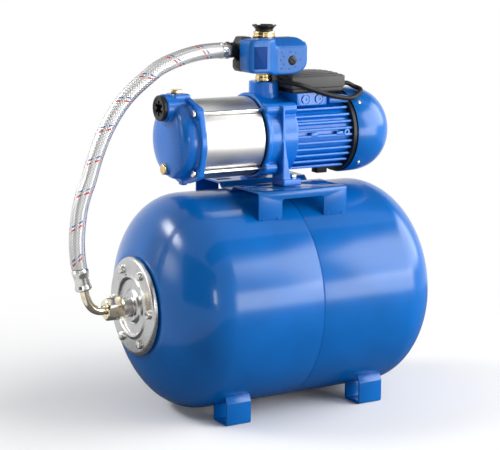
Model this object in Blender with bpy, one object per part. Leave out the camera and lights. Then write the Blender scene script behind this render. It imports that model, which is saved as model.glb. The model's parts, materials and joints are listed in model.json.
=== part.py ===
"""Booster pump set: a horizontal multistage pump on top of a horizontal membrane tank.

The pump draws water in at its left end, presses it up through a controller with a check
valve and, by a braided hose and an elbow, into the bladder of the tank.
Units are metres, +Z is up, +X runs from the suction end to the fan, and -Y is the front.
"""

import math

import bmesh
import bpy
from mathutils import Vector

MM = 0.001

# Clearances
GAP = 0.3 * MM
RUNNING_GAP = 0.6 * MM

# How finely round pieces are cut
TANK_SEGMENTS = 36
LARGE_SEGMENTS = 28
OUTLET_SEGMENTS = 20
MEDIUM_SEGMENTS = 16
HIDDEN_SEGMENTS = 12
SMALL_SEGMENTS = 10

# The frame's origin lies under the middle of the whole set, this far from the tank's middle
SET_MIDDLE_X = -38.0 * MM

# Tank
TANK_RADIUS = 185.0 * MM
TANK_LENGTH = 549.6 * MM
TANK_DOME_DEPTH = 109.0 * MM
TANK_DOME_POWER = 2.1
TANK_WALL = 2.0 * MM
TANK_GROUND_GAP = 10.5 * MM
TANK_SEAM_X = -6.0 * MM
TANK_SEAM_STEP = 0.8 * MM
TANK_FLAT_RADIUS = 92.0 * MM
TANK_MOUTH_RADIUS = 55.0 * MM
TANK_VALVE_HOLE = 6.5 * MM

# Bladder
BLADDER_RADIUS = 150.0 * MM
BLADDER_LENGTH = 420.0 * MM
BLADDER_DOME_DEPTH = 95.0 * MM
BLADDER_WALL = 3.0 * MM
BLADDER_LIP_WIDTH = 5.0 * MM

# Counter flange
FLANGE_RADIUS = 84.1 * MM
FLANGE_DEPTH = 11.9 * MM
FLANGE_SHEET = 3.0 * MM
FLANGE_BOLT_CIRCLE = 67.2 * MM
FLANGE_BOLTS = 6
FLANGE_BOLT_HEAD = 7.4 * MM
FLANGE_BOLT_HEIGHT = 5.4 * MM
FLANGE_BEAD_RADIUS = 51.0 * MM
FLANGE_BEAD_WIDTH = 10.0 * MM
FLANGE_BEAD_HEIGHT = 3.0 * MM
FLANGE_BOSS_RADIUS = 27.0 * MM
FLANGE_BOSS_HEIGHT = 1.6 * MM
NIPPLE_RADIUS = 16.6 * MM
NIPPLE_BORE = 12.5 * MM
NIPPLE_LENGTH = 17.0 * MM

# Air valve
VALVE_SEAT_RADIUS = 9.0 * MM
VALVE_SEAT_HEIGHT = 3.0 * MM
VALVE_STEM_RADIUS = 3.9 * MM
VALVE_STEM_LENGTH = 12.0 * MM
VALVE_CAP_RADIUS = 19.0 * MM
VALVE_CAP_HEIGHT = 18.0 * MM
VALVE_CAP_WALL = 1.6 * MM

# Tank feet
FOOT_WIDTH = 46.5 * MM
FOOT_MIDDLE_X = 133.3 * MM
FOOT_SHEET = 3.0 * MM
FOOT_OUTER_Y = 122.0 * MM
FOOT_INNER_Y = 77.0 * MM
FOOT_BEND_HEIGHT = 39.0 * MM
FOOT_SLOT_WIDTH = 9.0 * MM
FOOT_SLOT_LENGTH = 22.0 * MM

# Pump saddle
SADDLE_SHEET = 2.5 * MM
SADDLE_LEFT_X = -90.7 * MM
SADDLE_RIGHT_X = 83.0 * MM
SADDLE_HALF_DEPTH = 110.8 * MM
SADDLE_TROUGH_DEPTH = 7.4 * MM
SADDLE_TROUGH_FLOOR = 17.0 * MM
SADDLE_TROUGH_MOUTH = 25.0 * MM
SADDLE_BEND_RADIUS = 4.0 * MM
SADDLE_LEG_WIDTH = 45.5 * MM
SADDLE_WINDOW_DROP = 13.7 * MM
SADDLE_SLOT_WIDTH = 9.0 * MM
SADDLE_SLOT_LENGTH = 30.0 * MM

# Pump
PUMP_AXIS_HEIGHT = 81.3 * MM
CASING_BACK_X = -168.0 * MM
CASING_FLANGE_RADIUS = 74.0 * MM
CASING_FLANGE_THICKNESS = 10.0 * MM
CASING_DOME_RADIUS = 66.0 * MM
CASING_DOME_DEPTH = 32.0 * MM
CASING_DOME_POWER = 2.8
CASING_WALL = 5.0 * MM
LUG_RADIUS = 11.0 * MM
ROD_Y = 53.0 * MM
ROD_Z = 49.5 * MM
ROD_RADIUS = 3.3 * MM
ROD_HEAD_RADIUS = 6.6 * MM
ROD_HEAD_HEIGHT = 5.3 * MM
ROD_THREAD_DEPTH = 18.0 * MM

SUCTION_HEIGHT = 55.5 * MM
SUCTION_BOSS_RADIUS = 23.5 * MM
SUCTION_MOUTH_X = -214.0 * MM
SUCTION_BORE_RADIUS = 15.2 * MM
SUCTION_PLUG_RADIUS = 21.8 * MM
SUCTION_PLUG_HEAD = 7.0 * MM
SUCTION_PLUG_THREAD = 14.0 * MM
PRIMING_X = -186.6 * MM
PRIMING_PAD_HEIGHT = 79.0 * MM
PRIMING_PAD_LENGTH = 31.0 * MM
PRIMING_PAD_WIDTH = 34.0 * MM
PRIMING_PLUG_RADIUS = 11.2 * MM
PRIMING_BORE_RADIUS = 6.3 * MM
PRIMING_PLUG_HEIGHT = 6.5 * MM
PRIMING_PLUG_THREAD = 9.0 * MM
DRAIN_DROP = 47.0 * MM
DRAIN_MOUTH_X = -208.0 * MM
DRAIN_BOSS_RADIUS = 10.5 * MM
DRAIN_PLUG_RADIUS = 9.8 * MM
DRAIN_BORE_RADIUS = 5.3 * MM
DRAIN_PLUG_HEIGHT = 6.0 * MM
DRAIN_PLUG_THREAD = 8.0 * MM

SLEEVE_RADIUS = 68.0 * MM
SLEEVE_WALL = 2.0 * MM
SEAL_RADIUS = 68.9 * MM
SEAL_WIDTH = 2.6 * MM

ADAPTER_FRONT_X = -50.0 * MM
ADAPTER_LENGTH = 62.5 * MM
ADAPTER_FLANGE_RADIUS = 74.0 * MM
ADAPTER_FLANGE_WIDTH = 7.0 * MM
ADAPTER_BODY_RADIUS = 70.5 * MM
ADAPTER_CHAMBER_RADIUS = 58.0 * MM
ADAPTER_CHAMBER_DEPTH = 24.0 * MM
ADAPTER_WALL = 10.0 * MM
ADAPTER_FOOT_LEFT_X = -21.5 * MM
ADAPTER_FOOT_RIGHT_X = 14.0 * MM
ADAPTER_FOOT_HALF_SPAN = 75.5 * MM
ADAPTER_FOOT_THICKNESS = 11.5 * MM
ADAPTER_RIB_THICKNESS = 4.0 * MM
ADAPTER_RIB_HALF_SPAN = 71.8 * MM
PIPE_X = -17.5 * MM
DISCHARGE_RADIUS = 25.7 * MM
DISCHARGE_HEIGHT = 93.0 * MM
DISCHARGE_BORE_RADIUS = 13.2 * MM
FOOT_BOLT_X = 7.0 * MM
FOOT_BOLT_Y = 57.0 * MM
FOOT_BOLT_RADIUS = 3.8 * MM
FOOT_BOLT_HEAD_RADIUS = 7.5 * MM
FOOT_BOLT_HEAD_HEIGHT = 5.5 * MM
FOOT_BOLT_NUT_HEIGHT = 6.5 * MM

STAGES = 3
STAGE_PITCH = 30.0 * MM
STAGE_WALL = 9.0 * MM
STAGE_RADIUS = 54.0 * MM
IMPELLER_RADIUS = 48.0 * MM
IMPELLER_THICKNESS = 12.0 * MM
IMPELLER_VANES = 6
SHAFT_RADIUS = 7.0 * MM
SHAFT_FRONT_X = -160.0 * MM
SHAFT_REAR_X = 166.0 * MM
SHAFT_SEAL_RADIUS = 16.0 * MM
BEARING_RADIUS = 20.0 * MM
BEARING_WIDTH = 11.5 * MM

# Motor
MOTOR_LENGTH = 109.5 * MM
MOTOR_BODY_RADIUS = 60.5 * MM
MOTOR_FIN_RADIUS = 68.5 * MM
MOTOR_BORE_RADIUS = 56.0 * MM
MOTOR_FIN_PITCH = 11.3 * MM
MOTOR_FIN_THICKNESS = 6.2 * MM
MOTOR_FINS_EACH_WAY = 5
MOTOR_WEB = 20.0 * MM
STATOR_LENGTH = 70.0 * MM
STATOR_BORE_RADIUS = 33.5 * MM
WINDING_THICKNESS = 7.0 * MM
WINDING_HEAD_RADIUS = 51.0 * MM
WINDING_HEAD_LENGTH = 15.0 * MM
SHIELD_RADIUS = 72.5 * MM
SHIELD_LENGTH = 8.0 * MM
FAN_COVER_RADIUS = 74.8 * MM
FAN_COVER_LENGTH = 91.0 * MM
FAN_COVER_STRAIGHT = 20.0 * MM
FAN_COVER_POWER = 2.35
FAN_COVER_WALL = 1.6 * MM
GRILLE_RADIUS = 33.0 * MM
GRILLE_RINGS = 2
GRILLE_FIRST_RADIUS = 10.0 * MM
GRILLE_PITCH = 9.0 * MM
GRILLE_SLOT = 5.0 * MM
GRILLE_BRIDGE = 5.0 * MM
FAN_RADIUS = 60.0 * MM
FAN_LENGTH = 22.0 * MM
FAN_BLADES = 7
FAN_HUB_RADIUS = 14.0 * MM
REST_X = 100.0 * MM
REST_LENGTH = 30.0 * MM
REST_WIDTH = 40.0 * MM
REST_HEIGHT = 7.0 * MM

# Terminal box
BOX_LEFT_X = 6.4 * MM
BOX_LENGTH = 106.6 * MM
BOX_DEPTH = 110.0 * MM
BOX_BASE_Z = 74.8 * MM
BOX_TRAY_HEIGHT = 7.0 * MM
BOX_LID_HEIGHT = 20.5 * MM
BOX_LID_CROWN = 3.0 * MM
BOX_WALL = 2.0 * MM
BOX_LIP = 1.5 * MM
PLINTH_LEFT_X = 13.0 * MM
PLINTH_LENGTH = 60.0 * MM
PLINTH_DEPTH = 120.0 * MM
PLINTH_BASE_Z = 53.0 * MM
KNOCKOUT_RADIUS = 6.2 * MM
CAPACITOR_RADIUS = 11.5 * MM
CAPACITOR_LENGTH = 62.0 * MM
CAPACITOR_END_CLEARANCE = 10.6 * MM
CAPACITOR_Y = 24.0 * MM

# Controller
CONTROLLER_CLEARANCE = 18.0 * MM
CONTROLLER_HEIGHT = 57.0 * MM
CONTROLLER_LEFT_X = -77.5 * MM
CONTROLLER_RIGHT_X = 45.5 * MM
BODY_FRONT_Y = -20.0 * MM
BODY_BACK_Y = 4.0 * MM
PORT_LEFT_X = -85.5 * MM
PORT_HEIGHT = 36.5 * MM
PORT_RADIUS = 13.0 * MM
PORT_BORE_RADIUS = 9.0 * MM
INLET_RADIUS = 13.9 * MM
INLET_DEPTH = 11.0 * MM
INLET_BORE_RADIUS = 9.5 * MM
OUTLET_RADIUS = 19.0 * MM
OUTLET_HEIGHT = 9.2 * MM
OUTLET_BORE_RADIUS = 13.6 * MM
CAP_BRIM_RADIUS = 20.7 * MM
CAP_WAIST_RADIUS = 15.2 * MM
CAP_HEIGHT = 11.0 * MM
CAP_THREAD = 8.0 * MM
SIDE_PLUG_RADIUS = 10.0 * MM
SIDE_PLUG_LENGTH = 19.0 * MM
CHECK_RADIUS = 10.5 * MM
CHECK_TRAVEL = 6.0 * MM
COVER_FACE_Y = -55.0 * MM
COVER_LOBE_Y = -44.0 * MM
COVER_SIDE_Y = -46.0 * MM
COVER_FACE_RIGHT_X = -41.0 * MM
COVER_LOBE_LEFT_X = -13.0 * MM
COVER_WALL = 2.4 * MM
DIAL_X = 13.0 * MM
DIAL_HEIGHT = 19.0 * MM
DIAL_RADIUS = 8.0 * MM
DIAL_PROUD = 1.2 * MM
LOBE_RADIUS = 24.5 * MM
BOARD_THICKNESS = 1.6 * MM

# Hose and elbow
ELBOW_NUT_RADIUS = 19.6 * MM
ELBOW_NUT_LENGTH = 30.0 * MM
ELBOW_NUT_THREAD = 12.0 * MM
ELBOW_RADIUS = 6.5 * MM
HOSE_RADIUS = 13.2 * MM
FERRULE_RADIUS = 12.6 * MM
FERRULE_FLARE = 14.4 * MM
HOSE_NUT_RADIUS = 14.6 * MM
HOSE_NUT_LENGTH = 8.5 * MM
HOSE_COLLAR_LENGTH = 8.0 * MM
ELBOW_INSET = 8.0 * MM
FERRULE_START = (-37.7 * MM, 38.5 * MM)
FERRULE_END = (-45.2 * MM, 75.5 * MM)
# The elbow's path: how far it runs left of its nut, and how far it rises above the tank's axis
ELBOW_PATH = [
    (0.0, 0.0), (-11.2 * MM, 0.0), (-23.2 * MM, 6.5 * MM), (-32.2 * MM, 20.5 * MM),
    (-38.2 * MM, 40.5 * MM), (-40.2 * MM, 48.5 * MM),
]
# The hose's path, as shares of its run from the lower ferrule to the upper one along X and Z
HOSE_PATH = [
    (-0.0109, 0.0471), (-0.0165, 0.1133), (-0.0120, 0.1765), (0.0042, 0.2656), (0.0325, 0.3432),
    (0.0721, 0.4179), (0.1287, 0.5444), (0.2154, 0.6795), (0.3383, 0.8002), (0.5095, 0.9037),
    (0.5962, 0.9411), (0.7301, 0.9756), (0.8488, 0.9943),
]
HOSE_LEAD_OUT = 13.7 * MM

# Cable
CABLE_RADIUS = 4.0 * MM
GLAND_RADIUS = 8.0 * MM
GLAND_LENGTH = 14.0 * MM
GLAND_Y = -22.0 * MM
GLAND_HEIGHT = 9.0 * MM
CABLE_START = (-6.0 * MM, -33.0 * MM)
CABLE_START_DROP = 1.6 * MM
CABLE_STAND_OFF = 6.0 * MM
# The cable's first points, as X, Y and drop below the controller's foot
CABLE_FROM_CONTROLLER = [(-6 * MM, -34.5 * MM, 14 * MM), (-3 * MM, -52 * MM, 17 * MM)]
# The cable along the box's front, as a share of the box's length and a height over its foot
CABLE_ALONG_BOX = [(0.071, 15.2 * MM), (0.334, 5.7 * MM), (0.653, -5.3 * MM)]
# The cable round the box's end, as X past that end, Y and height over the box's foot
CABLE_ROUND_END = [
    (-5 * MM, -64 * MM, -11.8 * MM), (14 * MM, -60 * MM, -12.3 * MM), (35 * MM, -47 * MM, -7.8 * MM),
    (47 * MM, -34 * MM, -1.8 * MM), (40 * MM, -24 * MM, 2.7 * MM), (27 * MM, -22 * MM, 9 * MM),
]

# Places that follow from the sizes above
TANK_Z = TANK_GROUND_GAP + TANK_RADIUS
SADDLE_TOP_Z = TANK_Z + TANK_RADIUS + GAP + SADDLE_SHEET + SADDLE_TROUGH_DEPTH
PUMP_Z = SADDLE_TOP_Z + PUMP_AXIS_HEIGHT
DISCHARGE_TOP_Z = PUMP_Z + DISCHARGE_HEIGHT
CONTROLLER_Z = DISCHARGE_TOP_Z + CONTROLLER_CLEARANCE
PORT_Z = CONTROLLER_Z + PORT_HEIGHT
MOTOR_X = ADAPTER_FRONT_X + ADAPTER_LENGTH + GAP
SHIELD_X = MOTOR_X + MOTOR_LENGTH + GAP
FAN_COVER_X = SHIELD_X + SHIELD_LENGTH + GAP
BOX_Z = PUMP_Z + BOX_BASE_Z

X = Vector((1, 0, 0))
Y = Vector((0, 1, 0))
Z = Vector((0, 0, 1))

# Finishes
BLUE = ("blue_enamel", (0.010, 0.110, 0.560), 0.22, 0.0)
BLUE_CAST = ("blue_cast_paint", (0.012, 0.160, 0.700), 0.30, 0.0)
BLUE_PLASTIC = ("blue_plastic", (0.020, 0.110, 0.480), 0.40, 0.0)
STAINLESS = ("stainless_steel", (0.720, 0.720, 0.710), 0.22, 1.0)
ZINC = ("zinc_plate", (0.600, 0.590, 0.590), 0.30, 1.0)
STEEL = ("steel", (0.420, 0.420, 0.430), 0.35, 1.0)
BRASS = ("brass", (0.720, 0.500, 0.200), 0.22, 1.0)
NICKEL = ("nickel_plate", (0.780, 0.770, 0.740), 0.18, 1.0)
BRAID = ("braided_steel", (0.640, 0.640, 0.640), 0.38, 0.9)
BLACK = ("black_plastic", (0.015, 0.015, 0.015), 0.45, 0.0)
RUBBER = ("black_rubber", (0.012, 0.012, 0.012), 0.75, 0.0)
COPPER = ("copper_wire", (0.550, 0.200, 0.090), 0.35, 1.0)
NORYL = ("impeller_plastic", (0.100, 0.100, 0.110), 0.50, 0.0)
GREEN = ("circuit_board", (0.010, 0.140, 0.050), 0.45, 0.0)
CERAMIC = ("seal_ceramic", (0.620, 0.600, 0.550), 0.30, 0.0)


def clear_scene():
    for item in list(bpy.data.objects):
        bpy.data.objects.remove(item, do_unlink=True)


def frame_empty():
    """The frame that carries every piece, with the whole set centred over its origin."""
    empty = bpy.data.objects.new("pump_set_frame", None)
    empty.location = (-SET_MIDDLE_X, 0, 0)
    bpy.context.scene.collection.objects.link(empty)
    return empty


def finish(look):
    """The material of that name, made the first time it is asked for."""
    name, colour, roughness, metallic = look
    found = bpy.data.materials.get(name)
    if found:
        return found
    made = bpy.data.materials.new(name)
    made.use_nodes = True
    surface = made.node_tree.nodes["Principled BSDF"]
    surface.inputs["Base Color"].default_value = (*colour, 1)
    surface.inputs["Roughness"].default_value = roughness
    surface.inputs["Metallic"].default_value = metallic
    return made


def add_object(name, data, at, look):
    """Puts a mesh or a curve into the scene. Without a look it is a hidden tool for a Boolean."""
    item = bpy.data.objects.new(name, data)
    item.parent = bpy.data.objects["pump_set_frame"]
    item.location = at
    bpy.context.scene.collection.objects.link(item)
    if look:
        data.materials.append(finish(look))
    else:
        item.hide_render = True
        item.display_type = "WIRE"
    return item


def from_bmesh(name, shape, at, look):
    bmesh.ops.recalc_face_normals(shape, faces=shape.faces)
    data = bpy.data.meshes.new(name)
    shape.to_mesh(data)
    shape.free()
    data.shade_smooth()
    data.set_sharp_from_angle(angle=math.radians(32))
    return add_object(name, data, at, look)


def across(axis):
    """The direction that is up as seen along an axis, or +X for an upright axis."""
    up = X if abs(axis.z) > 0.9 * axis.length else Z
    return (up - axis * up.dot(axis) / axis.length_squared).normalized()


def turned(name, profile, at, axis, look=None, segments=MEDIUM_SEGMENTS, hollow=False):
    """A profile of (along, radius) points spun about an axis through the object's origin.

    A hollow one is a closed loop that stays clear of the axis. Any other is closed to the axis
    at both ends.
    """
    along = axis.normalized()
    radial = across(along)
    points = list(profile)
    if not hollow:
        points = [(points[0][0], 0.0)] + points + [(points[-1][0], 0.0)]
    shape = bmesh.new()
    corners = [shape.verts.new(along * a + radial * r) for a, r in points]
    pairs = list(zip(corners, corners[1:]))
    if hollow:
        pairs.append((corners[-1], corners[0]))
    edges = [shape.edges.new(pair) for pair in pairs if (pair[0].co - pair[1].co).length > 1e-7]
    bmesh.ops.spin(
        shape, geom=corners + edges, cent=(0, 0, 0), axis=along,
        angle=math.tau, steps=segments, use_merge=True,
    )
    bmesh.ops.remove_doubles(shape, verts=shape.verts, dist=1e-6)
    return from_bmesh(name, shape, at, look)


def prism(name, outline, start, end, axis, at=(0, 0, 0), look=None):
    """An outline extruded along X, Y or Z. Its points are the two other coordinates, in order."""
    def corner(point):
        first, second = point
        if axis is X:
            return Vector((start, first, second))
        if axis is Y:
            return Vector((first, start, second))
        return Vector((first, second, start))

    shape = bmesh.new()
    face = shape.faces.new([shape.verts.new(corner(point)) for point in outline])
    grown = bmesh.ops.extrude_face_region(shape, geom=[face])["geom"]
    moved = [part for part in grown if isinstance(part, bmesh.types.BMVert)]
    bmesh.ops.translate(shape, verts=moved, vec=axis * (end - start))
    return from_bmesh(name, shape, at, look)


def rectangle(left, right, low, high):
    return [(left, low), (right, low), (right, high), (left, high)]


def arc(middle, radius, start, end, steps):
    """Points on an arc, with the angles in degrees."""
    turn = [math.radians(start + (end - start) * i / steps) for i in range(steps + 1)]
    return [(middle[0] + radius * math.cos(t), middle[1] + radius * math.sin(t)) for t in turn]


def rounded_rectangle(left, right, low, high, radius, steps=3):
    return (
        arc((right - radius, high - radius), radius, 0, 90, steps)
        + arc((left + radius, high - radius), radius, 90, 180, steps)
        + arc((left + radius, low + radius), radius, 180, 270, steps)
        + arc((right - radius, low + radius), radius, 270, 360, steps)
    )


def slot(middle, length, width, angle=0.0, steps=4):
    """The outline of a round-ended slot, turned by an angle in degrees."""
    half = (length - width) / 2
    outline = arc((half, 0), width / 2, -90, 90, steps) + arc((-half, 0), width / 2, 90, 270, steps)
    cos, sin = math.cos(math.radians(angle)), math.sin(math.radians(angle))
    return [(middle[0] + x * cos - y * sin, middle[1] + x * sin + y * cos) for x, y in outline]


def dome(start, depth, radius, power, stop_radius, steps):
    """Superellipse points from the full radius at start to the stop radius, going outwards."""
    last = math.acos((stop_radius / radius) ** (power / 2))
    turns = [last * i / steps for i in range(steps + 1)]
    return [
        (start + depth * math.sin(t) ** (2 / power), radius * math.cos(t) ** (2 / power))
        for t in turns
    ]


def soften(item, width, segments=2, angle=40):
    """Rounds the edges that are sharper than an angle."""
    bevel = item.modifiers.new("soften", "BEVEL")
    bevel.width = width
    bevel.segments = segments
    bevel.limit_method = "ANGLE"
    bevel.angle_limit = math.radians(angle)
    return item


def combine(item, operation, tools):
    """One Boolean of a piece with all of its tools, which go into a collection of their own."""
    group = bpy.data.collections.new(f"{item.name}_{operation.lower()}")
    for tool in tools:
        group.objects.link(tool)
    step = item.modifiers.new(operation.lower(), "BOOLEAN")
    step.operation = operation
    step.operand_type = "COLLECTION"
    step.collection = group
    step.solver = "EXACT"
    return item


def join(item, *tools):
    return combine(item, "UNION", tools)


def cut(item, *tools):
    return combine(item, "DIFFERENCE", tools)


def keep(item, *tools):
    return combine(item, "INTERSECT", tools)


def sheet(name, path, start, end, thickness, look, at=(0, 0, 0)):
    """A bent strip: a path in (Y, Z), extruded along X and given its thickness on both sides."""
    shape = bmesh.new()
    corners = [shape.verts.new((start, y, z)) for y, z in path]
    edges = [shape.edges.new(pair) for pair in zip(corners, corners[1:])]
    grown = bmesh.ops.extrude_edge_only(shape, edges=edges)["geom"]
    moved = [part for part in grown if isinstance(part, bmesh.types.BMVert)]
    bmesh.ops.translate(shape, verts=moved, vec=X * (end - start))
    item = from_bmesh(name, shape, at, look)
    thick = item.modifiers.new("sheet", "SOLIDIFY")
    thick.thickness = thickness
    thick.offset = 0
    thick.use_even_offset = True
    return item


def fillet(path, radius, steps=2):
    """The path with each inner corner replaced by an arc of about that radius."""
    rounded = [path[0]]
    for before, corner, after in zip(path, path[1:], path[2:]):
        corner = Vector(corner)
        towards_start = (Vector(before) - corner).normalized()
        towards_end = (Vector(after) - corner).normalized()
        half = towards_start.angle(towards_end) / 2
        reach = radius / math.tan(half)
        first = corner + towards_start * reach
        last = corner + towards_end * reach
        for i in range(steps + 1):
            t = i / steps
            point = first * (1 - t) ** 2 + corner * 2 * t * (1 - t) + last * t ** 2
            rounded.append((point.x, point.y))
    rounded.append(path[-1])
    return rounded


def smooth_route(points, spacing):
    """Points about one spacing apart on a smooth curve through the route's own points."""
    knots = [Vector(point) for point in points]
    knots = [knots[0] * 2 - knots[1]] + knots + [knots[-1] * 2 - knots[-2]]
    route = [knots[1]]
    for a, b, c, d in zip(knots, knots[1:], knots[2:], knots[3:]):
        steps = max(1, round((c - b).length / spacing))
        for i in range(1, steps + 1):
            t = i / steps
            route.append(
                0.5 * (2 * b + (c - a) * t + (2 * a - 5 * b + 4 * c - d) * t ** 2
                       + (3 * b - a - 3 * c + d) * t ** 3)
            )
    return route


def tube(name, route, radius, look, resolution):
    """A round cord or pipe with filled ends along a route of points."""
    curve = bpy.data.curves.new(name, "CURVE")
    curve.dimensions = "3D"
    spline = curve.splines.new("POLY")
    spline.points.add(len(route) - 1)
    origin = route[0]
    for point, place in zip(spline.points, route):
        point.co = (*(place - origin), 1)
    curve.bevel_depth = radius
    curve.bevel_resolution = resolution
    curve.use_fill_caps = True
    return add_object(name, curve, origin, look)


def hex_bolt(name, at, axis, shank, head, height, length, look):
    """A hexagon head with its shank behind it. The origin is under the head."""
    item = turned(name, [(0, head), (height, head)], at, axis, look, segments=6)
    rod = turned(name + "_shank", [(-length, shank), (height / 2, shank)], at, axis, segments=SMALL_SEGMENTS)
    return join(item, rod)


# Tank

def tank_half_length():
    return TANK_LENGTH / 2


def tank_flat_x():
    """How far from the tank's middle the flat ring round its mouth lies."""
    start = tank_half_length() - TANK_DOME_DEPTH
    return dome(start, TANK_DOME_DEPTH, TANK_RADIUS, TANK_DOME_POWER, TANK_FLAT_RADIUS, 1)[-1][0]


def build_tank():
    start = tank_half_length() - TANK_DOME_DEPTH
    right_radius = TANK_RADIUS - TANK_SEAM_STEP
    inner_radius = right_radius - TANK_WALL
    inner_depth = TANK_DOME_DEPTH - TANK_WALL
    flat_x = tank_flat_x()
    left_dome = dome(start, TANK_DOME_DEPTH, TANK_RADIUS, TANK_DOME_POWER, TANK_FLAT_RADIUS, 5)
    right_dome = dome(start, TANK_DOME_DEPTH, right_radius, TANK_DOME_POWER, TANK_VALVE_HOLE, 7)
    profile = [(-a, r) for a, r in reversed(left_dome)]
    profile += [(TANK_SEAM_X, TANK_RADIUS), (TANK_SEAM_X, right_radius)]
    profile += right_dome
    middle = (0, 0, TANK_Z)
    shell = turned("tank_shell", profile, middle, X, BLUE, TANK_SEGMENTS)

    inner_right = dome(start, inner_depth, inner_radius, TANK_DOME_POWER, TANK_VALVE_HOLE, 3)
    flat_reach = (flat_x - TANK_WALL - start) / inner_depth
    inner_stop = inner_radius * (1 - flat_reach ** TANK_DOME_POWER) ** (1 / TANK_DOME_POWER)
    inner_left = dome(start, inner_depth, inner_radius, TANK_DOME_POWER, inner_stop, 3)
    room = [(-a, r) for a, r in reversed(inner_left)] + inner_right
    tools = [turned("tank_room", room, middle, X, segments=MEDIUM_SEGMENTS)]
    tools += [cylinder("tank_mouth", middle, -X, TANK_MOUTH_RADIUS, start, TANK_LENGTH, HIDDEN_SEGMENTS)]
    tools += [cylinder("valve_hole", middle, X, TANK_VALVE_HOLE, start, TANK_LENGTH, SMALL_SEGMENTS)]
    cut(shell, *tools)


def build_bladder():
    neck = TANK_MOUTH_RADIUS - GAP
    flat = tank_flat_x() + GAP
    lip = FLANGE_DEPTH - FLANGE_SHEET - 2 * GAP
    half = BLADDER_LENGTH / 2
    start = half - BLADDER_DOME_DEPTH
    inner_depth = BLADDER_DOME_DEPTH - BLADDER_WALL
    inner = BLADDER_RADIUS - BLADDER_WALL
    left = dome(start, BLADDER_DOME_DEPTH, BLADDER_RADIUS, TANK_DOME_POWER, neck, 3)
    right = dome(start, BLADDER_DOME_DEPTH, BLADDER_RADIUS, TANK_DOME_POWER, 0, 4)
    inner_left = dome(start, inner_depth, inner, TANK_DOME_POWER, neck - BLADDER_WALL, 2)
    inner_right = dome(start, inner_depth, inner, TANK_DOME_POWER, 0, 3)
    profile = list(reversed(right))
    profile += [(-a, r) for a, r in left]
    profile += [(-flat, neck), (-flat, neck + BLADDER_LIP_WIDTH)]
    profile += [(-flat - lip, neck + BLADDER_LIP_WIDTH), (-flat - lip, neck - BLADDER_WALL)]
    profile += [(-a, r) for a, r in reversed(inner_left)]
    profile += inner_right
    turned("bladder", profile, (0, 0, TANK_Z), X, RUBBER, HIDDEN_SEGMENTS)


def build_flange():
    back = FLANGE_DEPTH - FLANGE_SHEET
    bead = FLANGE_BEAD_RADIUS
    half = FLANGE_BEAD_WIDTH / 2
    top = FLANGE_DEPTH + FLANGE_BEAD_HEIGHT
    floor = FLANGE_DEPTH - FLANGE_BEAD_HEIGHT
    boss = FLANGE_DEPTH + FLANGE_BOSS_HEIGHT
    roll = 4.0 * MM
    shoulder = 3.0 * MM
    sheet_back = FLANGE_SHEET * 0.8
    profile = [(boss + NIPPLE_LENGTH, NIPPLE_BORE), (boss + NIPPLE_LENGTH, NIPPLE_RADIUS)]
    profile += [(boss, NIPPLE_RADIUS), (boss, FLANGE_BOSS_RADIUS - shoulder)]
    profile += [(FLANGE_DEPTH, FLANGE_BOSS_RADIUS), (floor, FLANGE_BOSS_RADIUS + shoulder)]
    profile += [(floor, bead - half), (top - shoulder / 2, bead - half * 0.5), (top, bead)]
    profile += [(top - shoulder / 2, bead + half * 0.5), (FLANGE_DEPTH, bead + half)]
    profile += arc((FLANGE_DEPTH - roll, FLANGE_RADIUS - roll), roll, 0, 90, 3)
    profile += [(GAP + shoulder, FLANGE_RADIUS), (GAP + shoulder, FLANGE_RADIUS - sheet_back)]
    profile += [(back, FLANGE_RADIUS - sheet_back), (back, bead + half), (top - FLANGE_SHEET, bead)]
    profile += [(floor - sheet_back, bead - half), (floor - sheet_back, NIPPLE_BORE)]
    plate = turned("tank_flange", profile, (-tank_flat_x(), 0, TANK_Z), -X, ZINC, LARGE_SEGMENTS,
                   hollow=True)
    heads = []
    for number in range(FLANGE_BOLTS):
        turn = math.tau * number / FLANGE_BOLTS
        at = (
            -tank_flat_x() - FLANGE_DEPTH + FLANGE_SHEET / 2,
            FLANGE_BOLT_CIRCLE * math.cos(turn),
            TANK_Z + FLANGE_BOLT_CIRCLE * math.sin(turn),
        )
        height = FLANGE_SHEET / 2 + FLANGE_BOLT_HEIGHT
        heads.append(turned(f"flange_bolt_{number}", [
            (0, FLANGE_BOLT_HEAD), (height - 1 * MM, FLANGE_BOLT_HEAD), (height, FLANGE_BOLT_HEAD - 1 * MM),
        ], at, -X, segments=6))
    join(plate, *heads)


def build_air_valve():
    seat_x = tank_half_length() + GAP
    stem_top = VALVE_SEAT_HEIGHT + VALVE_STEM_LENGTH
    profile = [(-TANK_WALL - 2 * MM, TANK_VALVE_HOLE - GAP), (0, TANK_VALVE_HOLE - GAP)]
    profile += [(0, VALVE_SEAT_RADIUS), (VALVE_SEAT_HEIGHT, VALVE_SEAT_RADIUS)]
    profile += [(VALVE_SEAT_HEIGHT, VALVE_STEM_RADIUS), (stem_top, VALVE_STEM_RADIUS)]
    turned("air_valve", profile, (seat_x, 0, TANK_Z), X, BRASS, SMALL_SEGMENTS)
    bore = VALVE_SEAT_RADIUS + GAP
    inside = stem_top + GAP
    rim = VALVE_CAP_RADIUS
    cap = [(inside, 0), (inside, bore), (0.6 * MM, bore), (0.6 * MM, rim - 2 * MM)]
    cap += [(2.4 * MM, rim)]
    cap += [(VALVE_CAP_HEIGHT * 0.55, rim), (VALVE_CAP_HEIGHT, rim * 0.7), (VALVE_CAP_HEIGHT, 0)]
    turned("air_valve_cap", cap, (seat_x, 0, TANK_Z), X, BLACK, MEDIUM_SEGMENTS)


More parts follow.
